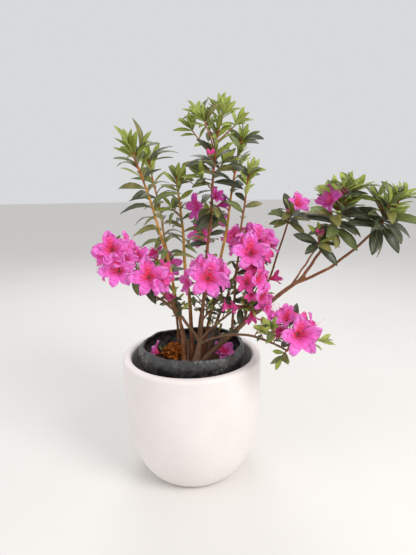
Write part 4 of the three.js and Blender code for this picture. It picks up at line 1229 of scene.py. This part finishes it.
def between(tree, value, low, high, new_low=0.0, new_high=1.0):
    """The value led from one range to another and kept inside it."""
    return wire(tree, "ShaderNodeMapRange", {"Value": value, "From Min": low, "From Max": high,
                                             "To Min": new_low, "To Max": new_high})[0]


def blended(tree, factor, first, second):
    """A colour between two colours. Plain ones are three numbers."""
    pair = [value if isinstance(value, bpy.types.NodeSocket) else (*value, 1.0) for value in (first, second)]
    return wire(tree, "ShaderNodeMix", {0: factor, 6: pair[0], 7: pair[1]}, data_type="RGBA")[2]


def changed(tree, tone, **inputs):
    """A colour with another value or saturation."""
    inputs = {key.title(): value for key, value in inputs.items()}
    return wire(tree, "ShaderNodeHueSaturation", {"Color": tone, **inputs})[0]


def dress(tree, shader, **sockets):
    """Links the sockets of the shader that differ from place to place."""
    for key, value in sockets.items():
        tree.links.new(value, shader.inputs[key.replace("_", " ").title()])


def relief(tree, shader, height, strength, distance):
    bump = wire(tree, "ShaderNodeBump", {"Height": height, "Strength": strength, "Distance": distance})[0]
    dress(tree, shader, normal=bump)


def toned(base, factor):
    return tuple(min(part * factor, 1.0) for part in base)


def drifting(tree, place, scale, low, high, base, contrast):
    """A colour that drifts in soft patches to a darker and a lighter tone of itself."""
    drift = between(tree, grain(tree, place, scale, detail=3), low, high)
    return blended(tree, drift, toned(base, 1 - contrast), toned(base, 1 + contrast))


def planter_finish(settings):
    """Matt fibreclay: fine pits, a soft mottle, faint throwing rings and a few scuffs low on the left."""
    material, tree, shader = new_finish("planter_fibreclay", specular_ior_level=0.35)
    place = object_place(tree)
    mottle = grain(tree, place, 9, detail=5)
    darker, lighter = toned(settings.body, 0.95), toned(settings.body, 1.03)
    body = blended(tree, between(tree, mottle, 0.35, 0.7), darker, lighter)
    scratches = grain(tree, object_place(tree, (60, 60, 14)), 1.2, detail=6, roughness=0.7, distortion=1.5)
    parts = object_parts(tree)
    low_left = times(tree, between(tree, parts[2], 0.2, 0.06), between(tree, parts[0], 0.02, -0.1))
    wear = plus(tree, times(tree, low_left, 0.7), 0.06)
    marked = times(tree, between(tree, scratches, 0.62, 0.72), wear)
    dress(tree, shader, base_color=blended(tree, marked, body, settings.scuff),
          roughness=between(tree, grain(tree, place, 30), 0.3, 0.7, 0.5, 0.66))
    pits = wire(tree, "ShaderNodeTexVoronoi", {"Vector": place, "Scale": 420.0})[0]
    rings = grain(tree, object_place(tree, (1, 1, 40)), 5, detail=2)
    waves = plus(tree, times(tree, rings, 0.35), mottle)
    height = plus(tree, times(tree, between(tree, pits, 0.05, 0.3), 0.4), waves)
    relief(tree, shader, height, strength=0.16, distance=0.0012)
    return material


def film_finish(settings):
    """Black polythene with creases; its dull pale patches are grime and a painted sheen, and the thin pale
    lines along the creases are grime and painted highlights.
    """
    material, tree, shader = new_finish("bag_film", specular_ior_level=0.95)
    place = object_place(tree)
    folds = grain(tree, place, 30, distortion=2.0)
    # thin pale lines along the creases: grime caught in them, and painted highlights along the creases
    crease_grime_and_highlights = times(tree, between(tree, folds, 0.47, 0.5), between(tree, folds, 0.53, 0.5))
    patches = between(tree, grain(tree, place, 12, detail=3), 0.42, 0.62)
    # fine pale patches: grime, and a painted sheen on the film
    grime_and_sheen_patches = times(tree, between(tree, grain(tree, place, 90, detail=6, roughness=0.7), 0.46, 0.7), patches)
    marked = plus(tree, times(tree, grime_and_sheen_patches, 0.55), times(tree, times(tree, crease_grime_and_highlights, patches), 0.5))
    dull = plus(tree, times(tree, marked, 0.4), between(tree, folds, 0.3, 0.7, 0.37, 0.47))
    # black film blended towards the pale colour of grime, painted sheen and painted crease highlights
    dress(tree, shader, base_color=blended(tree, marked, settings.film, settings.dust_and_sheen), roughness=dull)
    relief(tree, shader, folds, strength=0.4, distance=0.0018)
    return material


def earth_finish(name, base, light, scale):
    """Damp crumbly earth or bark: dark and lighter grains."""
    material, tree, shader = new_finish(name, roughness=0.92, specular_ior_level=0.25)
    place = object_place(tree)
    crumbs = grain(tree, place, scale, detail=8, roughness=0.7)
    clods = between(tree, grain(tree, place, scale * 0.16, detail=2), 0.4, 0.62, 0, 0.6)
    shade = blended(tree, between(tree, crumbs, 0.38, 0.66), toned(base, 0.5), light)
    dress(tree, shader, base_color=blended(tree, clods, shade, base))
    relief(tree, shader, crumbs, strength=0.8, distance=0.0014)
    return material


def bark_finish(name, base, *bands):
    """Bark with lengthwise cracks and pale flecks. Each band's colour takes over between two heights."""
    material, tree, shader = new_finish(name, roughness=0.72, specular_ior_level=0.32)
    cracks = grain(tree, object_place(tree, (1, 1, 0.18)), 420, detail=6, roughness=0.68)
    patches = between(tree, grain(tree, object_place(tree), 55, detail=3), 0.52, 0.7, 0, 0.55)
    height = object_parts(tree)[2]
    body = blended(tree, 0.0, base, base)
    for low, high, tone in bands:
        body = blended(tree, between(tree, height, low, high), body, tone)
    shade = blended(tree, between(tree, cracks, 0.35, 0.62), changed(tree, body, value=0.52), body)
    pale = changed(tree, body, value=1.45, saturation=0.85)
    dress(tree, shader, base_color=blended(tree, patches, shade, pale))
    relief(tree, shader, cracks, strength=0.7, distance=0.0007)
    return material


def leaf_finish(name, base, roughness=0.46, contrast=0.22):
    """A leathery leaf: a soft gloss, a plain colour with a little drift, and a fine grain."""
    material, tree, shader = new_finish(name, specular_ior_level=0.42, subsurface_weight=0.08,
                                        subsurface_scale=0.003)
    place = object_place(tree)
    fleck = grain(tree, place, 420, roughness=0.6)
    shade = drifting(tree, place, 34, 0.34, 0.66, base, contrast)
    shade = blended(tree, between(tree, fleck, 0.5, 0.75, 0, 0.35), shade, toned(base, 0.6))
    dress(tree, shader, base_color=shade,
          roughness=between(tree, fleck, 0.3, 0.7, roughness - 0.07, roughness + 0.1))
    relief(tree, shader, fleck, strength=0.3, distance=0.0005)
    return material


def petal_finish(name, base, glow=0.22, contrast=0.18):
    """A thin crinkled petal that lets light through."""
    material, tree, shader = new_finish(name, roughness=0.52, specular_ior_level=0.3, subsurface_weight=glow,
                                        subsurface_scale=0.004, subsurface_radius=(1.0, 0.25, 0.6),
                                        sheen_weight=0.12)
    place = object_place(tree)
    crinkles = grain(tree, place, 700, roughness=0.6)
    shade = drifting(tree, place, 38, 0.35, 0.65, base, contrast)
    shade = blended(tree, between(tree, crinkles, 0.45, 0.75, 0, 0.3), shade, toned(base, 0.78))
    dress(tree, shader, base_color=shade)
    relief(tree, shader, crinkles, strength=0.25, distance=0.0004)
    return material


# Pieces

SHRUB = {}  # holds the shrub once it is grown


def shrub():
    """The grown shrub, which all operators share."""
    if "grown" not in SHRUB:
        SHRUB["grown"] = Shrub(bpy.context.scene)
    return SHRUB["grown"]


def planter_profile(settings):
    """Up the outside, over the rounded lip and down the inside to the floor."""
    shoulder, roundness, floor, middle = 3.83, 1.4, 0.024, 0.05
    rows, crowding = 46, 2.1  # the rows lie closer together near the foot

    def outer(z):
        share = 1 - (1 - min(z / settings.height, 1)) ** shoulder
        return settings.foot + (settings.rim - settings.foot) * share ** (1 / roundness)
    top, half = settings.height - settings.lip, settings.wall / 2
    outside = [(settings.foot, 0.0)]
    for k in range(1, rows + 1):
        z = top * (k / rows) ** crowding
        outside.append((outer(z), z))
    lip, centre = [], outer(settings.height) - half
    for angle in range(170, 0, -10):
        aside, up = cos(radians(angle)), sin(radians(angle))
        lip.append((centre - half * copysign(abs(aside) ** 0.8, aside), top + settings.lip * up ** 0.8))
    inside = [(r - settings.wall, z) for r, z in reversed(outside) if z > floor + 0.006]
    corner = [(inside[-1][0] - 0.004, floor + 0.002), (settings.foot + 0.001, floor)]
    return [(0, 0), (middle, 0.0), *outside, *lip, *inside, *corner, (middle, floor), (0, floor)]


def make_planter(settings):
    """The turned planter, with its rounded lip, thick wall and flat foot, a little uneven."""
    sides, broad, fine = 144, 0.0006, 0.00022

    def uneven(p):
        push = broad * noise.noise(p * 9) + fine * noise.noise(p * 46)
        flat = Vector((p.x, p.y, 0))
        return p + flat.normalized() * push if flat.length > 0.06 and p.z > 0.002 else p
    shell = revolve(planter_profile(settings), sides).moved(uneven)
    set_piece("planter_shell", shell.mesh("planter_shell"), planter_finish(settings), ["planter"])


def bag_radius(settings, z, foot=0.024):
    return mix(settings.foot, settings.rim, (z - foot) / (settings.top - foot))


def lip_wave(turn):
    """How far the rolled lip rises or dips round its rim."""
    waves = sin(2 * turn + 0.6) * 0.7 + sin(5 * turn + 2) * 0.35 + sin(3 * turn) * 0.3
    return 0.004 * (waves + abs(sin(turn)) * 0.9)


def bag_profile(settings, level):
    """Up the outside, which swells from a level near the soil, round the rolled lip and down the inside."""
    foot, wall, low_rows, high_rows = 0.0243, 0.0018, 8, 24
    lip, lip_height = settings.lip, settings.top - settings.lip

    def outer(z):
        share = clamp((z - level) / (settings.top - level))
        return bag_radius(settings, z) + settings.bulge * sin(pi * share ** 1.3)
    heights = [mix(foot, level - 0.008, k / low_rows) for k in range(low_rows + 1)]
    heights += [mix(level - 0.006, lip_height, k / high_rows) for k in range(high_rows + 1)]
    outside = [(outer(z), z) for z in heights]
    middle = bag_radius(settings, settings.top) - lip - 0.0005
    roll = [(middle + lip * cos(radians(a)), lip_height + lip * sin(radians(a))) for a in range(10, 231, 13)]
    inside = [(r - wall - 0.0004, z) for r, z in reversed(outside[:-1])]
    return [(0, foot), *outside, *roll, *inside, (0, foot + wall)]


def make_bag(settings, soil_top):
    """The bag of thin creased film, its lip rolled outwards."""
    sides, level = 300, soil_top - 0.004

    def crease(p):
        turn, out = atan2(p.y, p.x), hypot(p.x, p.y)
        if out < 0.05:
            return p
        high = clamp((p.z - soil_top + 0.035) / 0.04)
        wave = lip_wave(turn) * clamp((p.z - level - 0.012) / 0.026)
        way = polar(5, turn, p.z * 24)
        folds = 1 - 2.4 * abs(noise.noise(way))
        creases = 1 - 2.4 * abs(noise.noise(way * 2.2 + Vector((11, 3, 5))))
        fine = noise.noise(polar(34, turn, p.z * 130))
        push = high * (settings.wrinkle * (0.9 * folds + 0.5 * creases - 0.7) + 0.0005 * fine)
        lip = high * 0.002 * noise.noise(polar(5, turn, 3))
        return polar(out + push, turn, p.z + wave + lip)
    skin = revolve(bag_profile(settings, level), sides).moved(crease)
    set_piece("bag_skin", skin.mesh("bag_skin"), film_finish(settings), ["nursery_bag"])


def soil_height(x, y, settings):
    place = Vector((x, y, 0))
    lumps = noise.noise(place * 26) * 0.5 + noise.noise(place * 80) * 0.3 + noise.noise(place * 210) * 0.16
    return settings.relief * (lumps - 0.15)


def make_soil(settings, bag):
    """The soil, lumpy on top, with bark chips and dry scraps strewn over it."""
    foot, top, rings, sides = 0.0273, settings.top, 44, 132
    rim = bag_radius(bag, top) - 0.0031
    profile = [(0, foot), (bag_radius(bag, foot) - 0.0034, foot), (rim, top - 0.006)]
    profile += [(rim * k / rings, top) for k in range(rings, 0, -1)] + [(0, top)]

    def lump(p):
        return p if p.z < top - 0.001 else Vector((p.x, p.y, top + soil_height(p.x, p.y, settings)))
    bed = revolve(profile, sides).moved(lump)
    finish = earth_finish("potting_soil", settings.earth, settings.chip, 260)
    set_piece("soil_bed", bed.mesh("soil_bed"), finish, ["soil"])
    strew_chips(settings, rim)


def chip_shape(seed, long, wide, thick):
    """A broken chip of bark, with a dozen rough faces."""
    def broken(p):
        push = 1 + 0.5 * noise.noise(p * 1.7 + Vector((seed, 0, 0)))
        return Vector((p.x * long * push, p.y * wide * push, p.z * thick * push))
    return revolve([(0, -0.8), (0.8, -0.5), (1.0, 0.3), (0.5, 0.8), (0, 0.9)], 6).moved(broken)


def ground_shape(settings, radius):
    """A disc that lies just over the soil, for what is strewn on it."""
    rings, sides = 12, 36
    points = [climb(settings.top)]
    for k in range(1, rings + 1):
        points += [heading(i * 360 / sides) * radius * k / rings + climb(settings.top) for i in range(sides)]
    faces = [(0, 1 + i, 1 + (i + 1) % sides) for i in range(sides)]
    for low in range(1, 1 + (rings - 1) * sides, sides):
        high = low + sides
        faces += [(low + i, high + i, high + (i + 1) % sides, low + (i + 1) % sides) for i in range(sides)]

    def laid(p):
        return Vector((p.x, p.y, p.z + soil_height(p.x, p.y, settings) + 0.0005))
    return Shape().add(points, faces).moved(laid)


def strew_chips(settings, rim):
    """Bark chips all over, and fewer dry scraps."""
    ground = ground_shape(settings, rim - 0.006)
    chips = shape_collection("chip", [chip_shape(seed, 0.005, 0.0028, 0.0013) for seed in (1, 5, 9)])
    scraps = shape_collection("scrap", [chip_shape(3, 0.0085, 0.0007, 0.0005),
                                        chip_shape(7, 0.0042, 0.0022, 0.0003)])
    rows = (("bark_chips", chips, settings.density, 0.5, 1.5, 4, settings.chip, 380),
            ("dry_scraps", scraps, settings.density * 0.14, 0.6, 1.4, 9, settings.straw, 500))
    for name, shapes, density, smallest, largest, seed, base, scale in rows:
        mesh = grow_mesh(name, scatter_tree, ground.mesh(name + "_ground"), Shapes=shapes, Density=density,
                         Smallest=smallest, Largest=largest, Seed=seed)
        set_piece(name, mesh, earth_finish(name + "_finish", base, toned(base, 1.5), scale))


def make_dried_clump(settings):
    """The withered truss that lies on the soil: a dome of curled dry petals."""
    radius, height, count, seed = CLUMP["radius"] * MM, CLUMP["height"] * MM, CLUMP["petals"], CLUMP["seed"]
    middle = on_plan(CLUMP["at"], settings.top)
    dry_petals = [dry_petal_shape(petal_seed) for petal_seed in (2, 6, 11)]
    rows = []
    for i in range(count):
        facing = heading(i * GOLDEN_ANGLE, mix(2, 86, ((i + 0.5) / count) ** 0.9))
        place = Vector((facing.x * radius * 0.62, facing.y * radius * 0.62, facing.z * height * 0.6))
        across = heading(i * 77).cross(facing).normalized()
        size = mix(0.8, 1.25, chance(seed, i))
        rows.append((middle + place, basis(facing, across), size, i % len(dry_petals)))
    mesh = set_out("dried_truss", rows, shape_collection("dry_petal", dry_petals), jitter=0.5, seed=seed)
    profile = [(0, 0), (radius * 0.55, 0.002), (radius * 0.66, height * 0.3), (radius * 0.4, height * 0.62),
               (0, height * 0.7)]
    heart = revolve(profile, 18).moved(lambda p: p + middle)
    finish = earth_finish("dried_petals_finish", settings.dried, toned(settings.dried, 1.7), 300)
    set_piece("dried_truss", mesh, finish, ["dried_bloom_clump"])
    set_piece("dried_truss_heart", heart.mesh("dried_truss_heart"), finish)


def dry_petal_shape(seed):
    """A shrivelled petal that leads along +X, curled and creased."""
    long, broad, rows, columns = 0.0142, 0.0042, 6, 5
    points = []
    for r in range(rows):
        share = r / (rows - 1)
        half = broad * sin(pi * min(share * 0.8 + 0.12, 1))
        for c in range(columns):
            across = c / 2 - 1
            curl = 0.0032 * across * across * (1 + 0.6 * sin(seed + 3 * share))
            ruffle = 0.002 * sin(6 * across + 10 * share + seed)
            points.append(Vector((long * share, half * across, curl + ruffle + 0.004 * share * share)))
    return plate(Shape(), points, turned_over(grid_faces(rows, columns)), 0.0004)


def limb_line(limb):
    """The way of a limb as points with their girths, from its root or its parent's heart to its tip."""
    growth, line, step, buried = limb.growth, [], 0.005, 0.008
    steps = max(int(growth.size / step), 8)
    if not limb.parent:
        line.append((growth.start - climb(buried), limb.girth_at(0) * 1.1))
    for i in range(steps + 1):
        share = i / steps
        knot = 1 + 0.07 * max(sin(share * growth.size * 290 + growth.turn), 0) ** 6
        line.append((growth.point(share), limb.girth_at(share) * knot))
    end = limb.girth_at(1)
    line.append((growth.point(1) + growth.tangent(1) * end * 0.7, end * 0.55))
    return line


def draw_limbs(name, lines, sides, bark, grain, stretch):
    """The plain mesh of round limbs along lines, with bark of a given relief and grain."""
    return grow_mesh(name, limb_tree, line_mesh(name + "_lines", lines), Sides=sides, Relief=bark,
                     Grain=grain, Stretch=(1.0, 1.0, stretch))


def make_limbs(settings):
    """Trunk, boughs and stems, with their bark in relief."""
    skins = dict(
        bark=("old_bark", 1.5, settings.bark, (0.36, 0.5, settings.red)),
        red=("red_stems", 0.6, settings.bark, (0.3, 0.44, settings.red), (0.66, 0.74, settings.shoot)),
        golden=("golden_stems", 0.6, settings.red, (0.36, 0.48, settings.golden),
                (0.68, 0.75, settings.shoot)),
    )
    for skin, (name, rough, base, *bands) in skins.items():
        limbs = [limb for limb in shrub().limbs.values() if limb.skin == skin]
        lines = [limb_line(limb) for limb in limbs]
        mesh = draw_limbs(name, lines, sides=12, bark=settings.relief * rough, grain=240.0, stretch=0.3)
        finish = bark_finish(name + "_finish", base, *bands)
        set_piece(name, mesh, finish, [limb.name for limb in limbs])


def make_twigs(settings):
    """Stems of the masses and all their twigs."""
    lines, step = [], 0.006
    for growth, thick, thin in shrub().twigs:
        steps = max(int(growth.size / step), 4)
        line = [(growth.point(i / steps), mix(thick, thin, i / steps)) for i in range(steps + 1)]
        line.append((growth.point(1) + growth.tangent(1) * thin * 0.8, thin * 0.5))
        lines.append(line)
    mesh = draw_limbs("twigs", lines, sides=8, bark=settings.relief * 0.45, grain=300.0, stretch=0.4)
    finish = bark_finish("twigs_finish", settings.twig)
    set_piece("twigs", mesh, finish, [row["name"] for row in MASSES])


def make_stalks(settings):
    """The curved stalks of the blooms, thickest at the bloom."""
    sag, slender, lines = climb(-0.0016), 0.00095, []
    for end, foot, facing in shrub().stalks:
        lines.append([(end - facing * 0.001, 0.0012), (end.lerp(foot, 0.35) + sag, slender),
                      (end.lerp(foot, 0.72) + sag, slender), (foot, 0.0013),
                      (foot + facing * 0.002, 0.0016)])
    mesh = draw_limbs("flower_stalks", lines, sides=7, bark=settings.relief * 0.3, grain=400.0, stretch=1.0)
    set_piece("flower_stalks", mesh, leaf_finish("flower_stalks_finish", settings.stalk, 0.6))


def masses_named(*endings):
    return [row["name"] for row in MASSES if row["name"].endswith(endings)]


def shoot_leaves(soil_top):
    """The small seedling that stands on the soil."""
    way = Growth(on_plan(SHOOT["at"], soil_top), 0, 1, SHOOT["rise"])
    leaves = []
    for i in range(SHOOT["leaves"]):
        share = mix(0.4, 1, i / SHOOT["leaves"])
        along = heading(i * GOLDEN_ANGLE, mix(15, 60, share))
        leaves.append(Leaf(way.point(share), along, climb(1), SHOOT["size"], "young", "young"))
    return leaves


def make_leaves(settings, soil_top):
    """All leaves, in one piece for each tint, and their pale undersides and midribs."""
    kinds, roughnesses = list(BLADES), dict(dark=0.34, middle=0.38, olive=0.44, young=0.48)
    widths = dict(broad=settings.broad, narrow=settings.narrow, young=settings.broad * 0.84)
    blades = [Blade(settings.long, widths[kind], **BLADES[kind]) for kind in kinds]
    tops = shape_collection("blade", [blade.top() for blade in blades])
    undersides = shape_collection("backing", [blade.underside() for blade in blades])
    leaves = shrub().leaves + shoot_leaves(soil_top)
    for tint, roughness in roughnesses.items():
        name, chosen = f"leaves_{tint}", [leaf for leaf in leaves if leaf.tint == tint]
        mesh = set_out(name, standing(chosen, kinds), tops)
        finish = leaf_finish(name + "_finish", getattr(settings, tint), roughness)
        set_piece(name, mesh, finish, masses_named("foliage", "rosette") if tint == "dark" else ())
    for name, base, young in (("leaf_undersides", settings.under, False),
                              ("young_undersides", settings.young_under, True)):
        chosen = [leaf for leaf in leaves if (leaf.tint == "young") == young]
        mesh = set_out(name, standing(chosen, kinds), undersides)
        set_piece(name, mesh, leaf_finish(name + "_finish", base, roughness=0.62, contrast=0.1))


def fallen_blooms(settings, soil_top):
    """Blooms that lie on the soil, their lowest petal on it."""
    lying = []
    for row in FALLEN_BLOOMS:
        size, lift = row["size"], radians(row["lift"])
        lowest = settings.radius * size * cos(lift) - settings.depth * size * sin(lift)
        foot = on_plan(row["at"], soil_top + max(lowest, 0.002))
        lying.append(Bloom(foot, heading(row["turn"], row["lift"]), size, "open_2", "bright", roll=24))
    return lying


def petal_tones(settings):
    """The colours of the zones of a bloom, for each tint."""
    deep, purple, faded = settings.deep, settings.purple, settings.faded
    deep_heart, shaded_purple_heart, faded_heart = settings.deep_heart, settings.shaded_purple_heart, settings.faded_heart
    return dict(
        bright=(settings.bright, settings.edge, settings.glow, settings.blush, settings.heart),
        deep=(deep, toned(deep, 1.12), toned(deep, 0.96), deep_heart, toned(deep_heart, 0.9)),
        # painted shade: the darker, bluer petals and throats of the blooms in shade
        purple=(purple, toned(purple, 1.15), toned(purple, 0.95), shaded_purple_heart, shaded_purple_heart),
        faded=(faded, toned(faded, 1.2), toned(faded, 0.9), faded_heart, faded_heart),
    )


def make_petals(settings, soil_top):
    """All petals, by zone and tint, with the specks on them."""
    kinds = list(OPENINGS)
    corollas = [Corolla(settings, **OPENINGS[kind]) for kind in kinds]
    zoned = [corolla.zones() for corolla in corollas]
    groups = {zone: shape_collection(zone, [zones[zone] for zones in zoned]) for zone in ZONES}
    groups["petal_specks"] = shape_collection("speck", [corolla.specks() for corolla in corollas])
    blooms = shrub().blooms + fallen_blooms(settings, soil_top)
    blossom = masses_named("blooms") + sorted({row["name"] for row in FALLEN_BLOOMS})

    def set_petals(name, zone, chosen, base, stands_for=(), **look):
        mesh = set_out(name, standing(chosen, kinds), groups[zone])
        set_piece(name, mesh, petal_finish(name + "_finish", base, **look), stands_for)
    for tint, colours in petal_tones(settings).items():
        chosen = [bloom for bloom in blooms if bloom.tint == tint]
        for zone, base in zip(ZONES, colours):
            stands_for = blossom if (zone, tint) == ("petals", "bright") else ()
            set_petals(f"{zone}_{tint}", zone, chosen, base, stands_for)
    set_petals("petal_specks", "petal_specks", blooms, settings.speck, glow=0.0)


def make_flower_parts(settings, green):
    """Stamens, calyces, buds and bud scales."""
    kinds, blooms, buds = list(OPENINGS), shrub().blooms, standing(shrub().buds)
    filaments, anthers = zip(*(Corolla(settings, **OPENINGS[kind]).stamens() for kind in kinds))
    pinks = dict(filaments=(settings.filament, 0.1), anthers=(settings.anther, 0.0),
                 flower_buds=(settings.deep,))
    parts = dict(
        filaments=(standing(blooms, kinds), filaments),
        anthers=(standing(blooms, kinds), anthers),
        calyces=(standing(blooms), [calyx_shape()]),
        flower_buds=(buds, [bud_shape()]),
        bud_scales=(buds, [bud_scales_shape()]),
    )
    for name, (rows, shapes) in parts.items():
        mesh = set_out(name, rows, shape_collection(name + "_shape", shapes))
        if name in pinks:
            set_piece(name, mesh, petal_finish(name + "_finish", *pinks[name]))
        else:
            set_piece(name, mesh, leaf_finish(name + "_finish", green, roughness=0.6))


# Stage

CAMERA = dict(place=(0.0433, -0.9883, 0.6904), pitch=-11.63, roll=-1.07, lens=27.24, sensor=36.0)
SKY = dict(tone=(0.86, 0.87, 0.89, 1), strength=0.8)
AIM = Vector((0.05, 0, 0.45))  # the lights point here

# Each light is a name, a place, the size of its disc, its power and its tone
LIGHTS = (
    ("key_light", (1.7, -1.5, 2.1), 1.3, 44, (1.0, 0.985, 0.96)),
    ("fill_light", (-1.9, -1.2, 1.6), 2.2, 9, (0.96, 0.98, 1.0)),
    ("back_light", (-0.3, 2.1, 2.4), 1.8, 20, (1.0, 1.0, 1.0)),
)


def set_camera():
    """A camera where the photograph was taken from."""
    data = bpy.data.cameras.new("camera")
    data.lens, data.sensor_width = CAMERA["lens"], CAMERA["sensor"]
    data.clip_start = 0.02
    camera = new_object("camera", data)
    pitch = Matrix.Rotation(radians(90 + CAMERA["pitch"]), 4, "X")
    roll = Matrix.Rotation(radians(CAMERA["roll"]), 4, "Z")
    camera.matrix_world = Matrix.Translation(CAMERA["place"]) @ (pitch @ roll)
    bpy.context.scene.camera = camera


def set_light(name, place, size, power, tone):
    data = bpy.data.lights.new(name, "AREA")
    data.shape, data.size, data.energy, data.color = "DISK", size, power, tone
    turn = (AIM - Vector(place)).to_track_quat("-Z", "Y").to_matrix().to_4x4()
    new_object(name, data).matrix_world = Matrix.Translation(place) @ turn


def set_floor(settings):
    """The plain pale floor."""
    half = settings.floor / 2
    mesh = bpy.data.meshes.new("floor")
    corners = [(-half, -half, 0), (half, -half, 0), (half, half, 0), (-half, half, 0)]
    mesh.from_pydata(corners, [], [(0, 1, 2, 3)])
    material, tree, shader = new_finish("floor_finish", roughness=0.7, specular_ior_level=0.3)
    drift = grain(tree, object_place(tree), 3)
    darker, lighter = toned(settings.pale, 0.97), toned(settings.pale, 1.03)
    dress(tree, shader, base_color=blended(tree, drift, darker, lighter))
    mesh.materials.append(material)
    floor = new_object("floor", mesh)


def set_sky(strength):
    """Even light from all round."""
    world = bpy.data.worlds.new("soft_sky")
    world.use_nodes = True
    background = world.node_tree.nodes["Background"]
    background.inputs["Color"].default_value = SKY["tone"]
    background.inputs["Strength"].default_value = strength
    bpy.context.scene.world = world


def set_stage(settings):
    """A plain pale floor, soft light from all round and the camera."""
    set_floor(settings)
    set_sky(SKY["strength"] * settings.light)
    for name, place, size, power, tone in LIGHTS:
        set_light(name, place, size, power * settings.light, tone)
    bpy.context.scene.view_settings.view_transform = "Standard"
    set_camera()


# Operators and panel

class MakePlanter(bpy.types.Operator):
    """Build the round planter"""

    bl_idname, bl_label = "azalea.make_planter", "Planter"

    def execute(self, context):
        make_planter(context.scene.azalea_planter)
        return {"FINISHED"}


class MakeBag(bpy.types.Operator):
    """Build the creased nursery bag"""

    bl_idname, bl_label = "azalea.make_bag", "Nursery bag"

    def execute(self, context):
        make_bag(context.scene.azalea_bag, context.scene.azalea_soil.top)
        return {"FINISHED"}


class MakeSoil(bpy.types.Operator):
    """Build the soil, its bark chips and the dried truss on it"""

    bl_idname, bl_label = "azalea.make_soil", "Soil and litter"

    def execute(self, context):
        make_soil(context.scene.azalea_soil, context.scene.azalea_bag)
        make_dried_clump(context.scene.azalea_soil)
        return {"FINISHED"}


class MakeLimbs(bpy.types.Operator):
    """Grow the trunk, boughs and stems"""

    bl_idname, bl_label = "azalea.make_limbs", "Trunk, boughs and stems"

    def execute(self, context):
        make_limbs(context.scene.azalea_wood)
        return {"FINISHED"}


class MakeTwigs(bpy.types.Operator):
    """Grow the twigs and flower stalks"""

    bl_idname, bl_label = "azalea.make_twigs", "Twigs and stalks"

    def execute(self, context):
        make_twigs(context.scene.azalea_wood)
        make_stalks(context.scene.azalea_wood)
        return {"FINISHED"}


class MakeLeaves(bpy.types.Operator):
    """Set the leaves on stems and twigs"""

    bl_idname, bl_label = "azalea.make_leaves", "Leaves"

    def execute(self, context):
        make_leaves(context.scene.azalea_leaf, context.scene.azalea_soil.top)
        return {"FINISHED"}


class MakePetals(bpy.types.Operator):
    """Set the petals of all blooms, on the shrub and on the soil"""

    bl_idname, bl_label = "azalea.make_petals", "Petals"

    def execute(self, context):
        make_petals(context.scene.azalea_bloom, context.scene.azalea_soil.top)
        return {"FINISHED"}


class MakeFlowerParts(bpy.types.Operator):
    """Set stamens, calyces and buds"""

    bl_idname, bl_label = "azalea.make_flower_parts", "Stamens, calyces and buds"

    def execute(self, context):
        make_flower_parts(context.scene.azalea_bloom, context.scene.azalea_wood.stalk)
        return {"FINISHED"}


class SetStage(bpy.types.Operator):
    """Set the floor, the lights and the camera"""

    bl_idname, bl_label = "azalea.set_stage", "Stage"

    def execute(self, context):
        set_stage(context.scene.azalea_stage)
        return {"FINISHED"}


OPERATORS = (MakePlanter, MakeBag, MakeSoil, MakeLimbs, MakeTwigs, MakeLeaves, MakePetals, MakeFlowerParts,
             SetStage)


class AzaleaPanel(bpy.types.Panel):
    """Lists the pieces and their sizes and colours."""

    bl_idname, bl_label = "VIEW3D_PT_azalea", "Azalea in a planter"
    bl_space_type, bl_region_type, bl_category = "VIEW_3D", "UI", "Azalea"

    def draw(self, context):
        for operator in OPERATORS:
            self.layout.operator(operator.bl_idname, text=operator.bl_label)
        for name, group in SETTINGS.items():
            box = self.layout.box()
            for prop in group.__annotations__:
                box.prop(getattr(context.scene, name), prop)


def register():
    for cls in (*SETTINGS.values(), *OPERATORS, AzaleaPanel):
        bpy.utils.register_class(cls)
    for name, group in SETTINGS.items():
        setattr(bpy.types.Scene, name, PointerProperty(type=group))


def unregister():
    for name in SETTINGS:
        delattr(bpy.types.Scene, name)
    for cls in (AzaleaPanel, *reversed(OPERATORS), *reversed(SETTINGS.values())):
        bpy.utils.unregister_class(cls)


def main():
    """Builds the stage and every piece."""
    register()
    bpy.ops.azalea.set_stage()
    bpy.ops.azalea.make_planter()
    bpy.ops.azalea.make_bag()
    bpy.ops.azalea.make_soil()
    bpy.ops.azalea.make_limbs()
    bpy.ops.azalea.make_twigs()
    bpy.ops.azalea.make_leaves()
    bpy.ops.azalea.make_petals()
    bpy.ops.azalea.make_flower_parts()


if __name__ == "__main__":
    main()
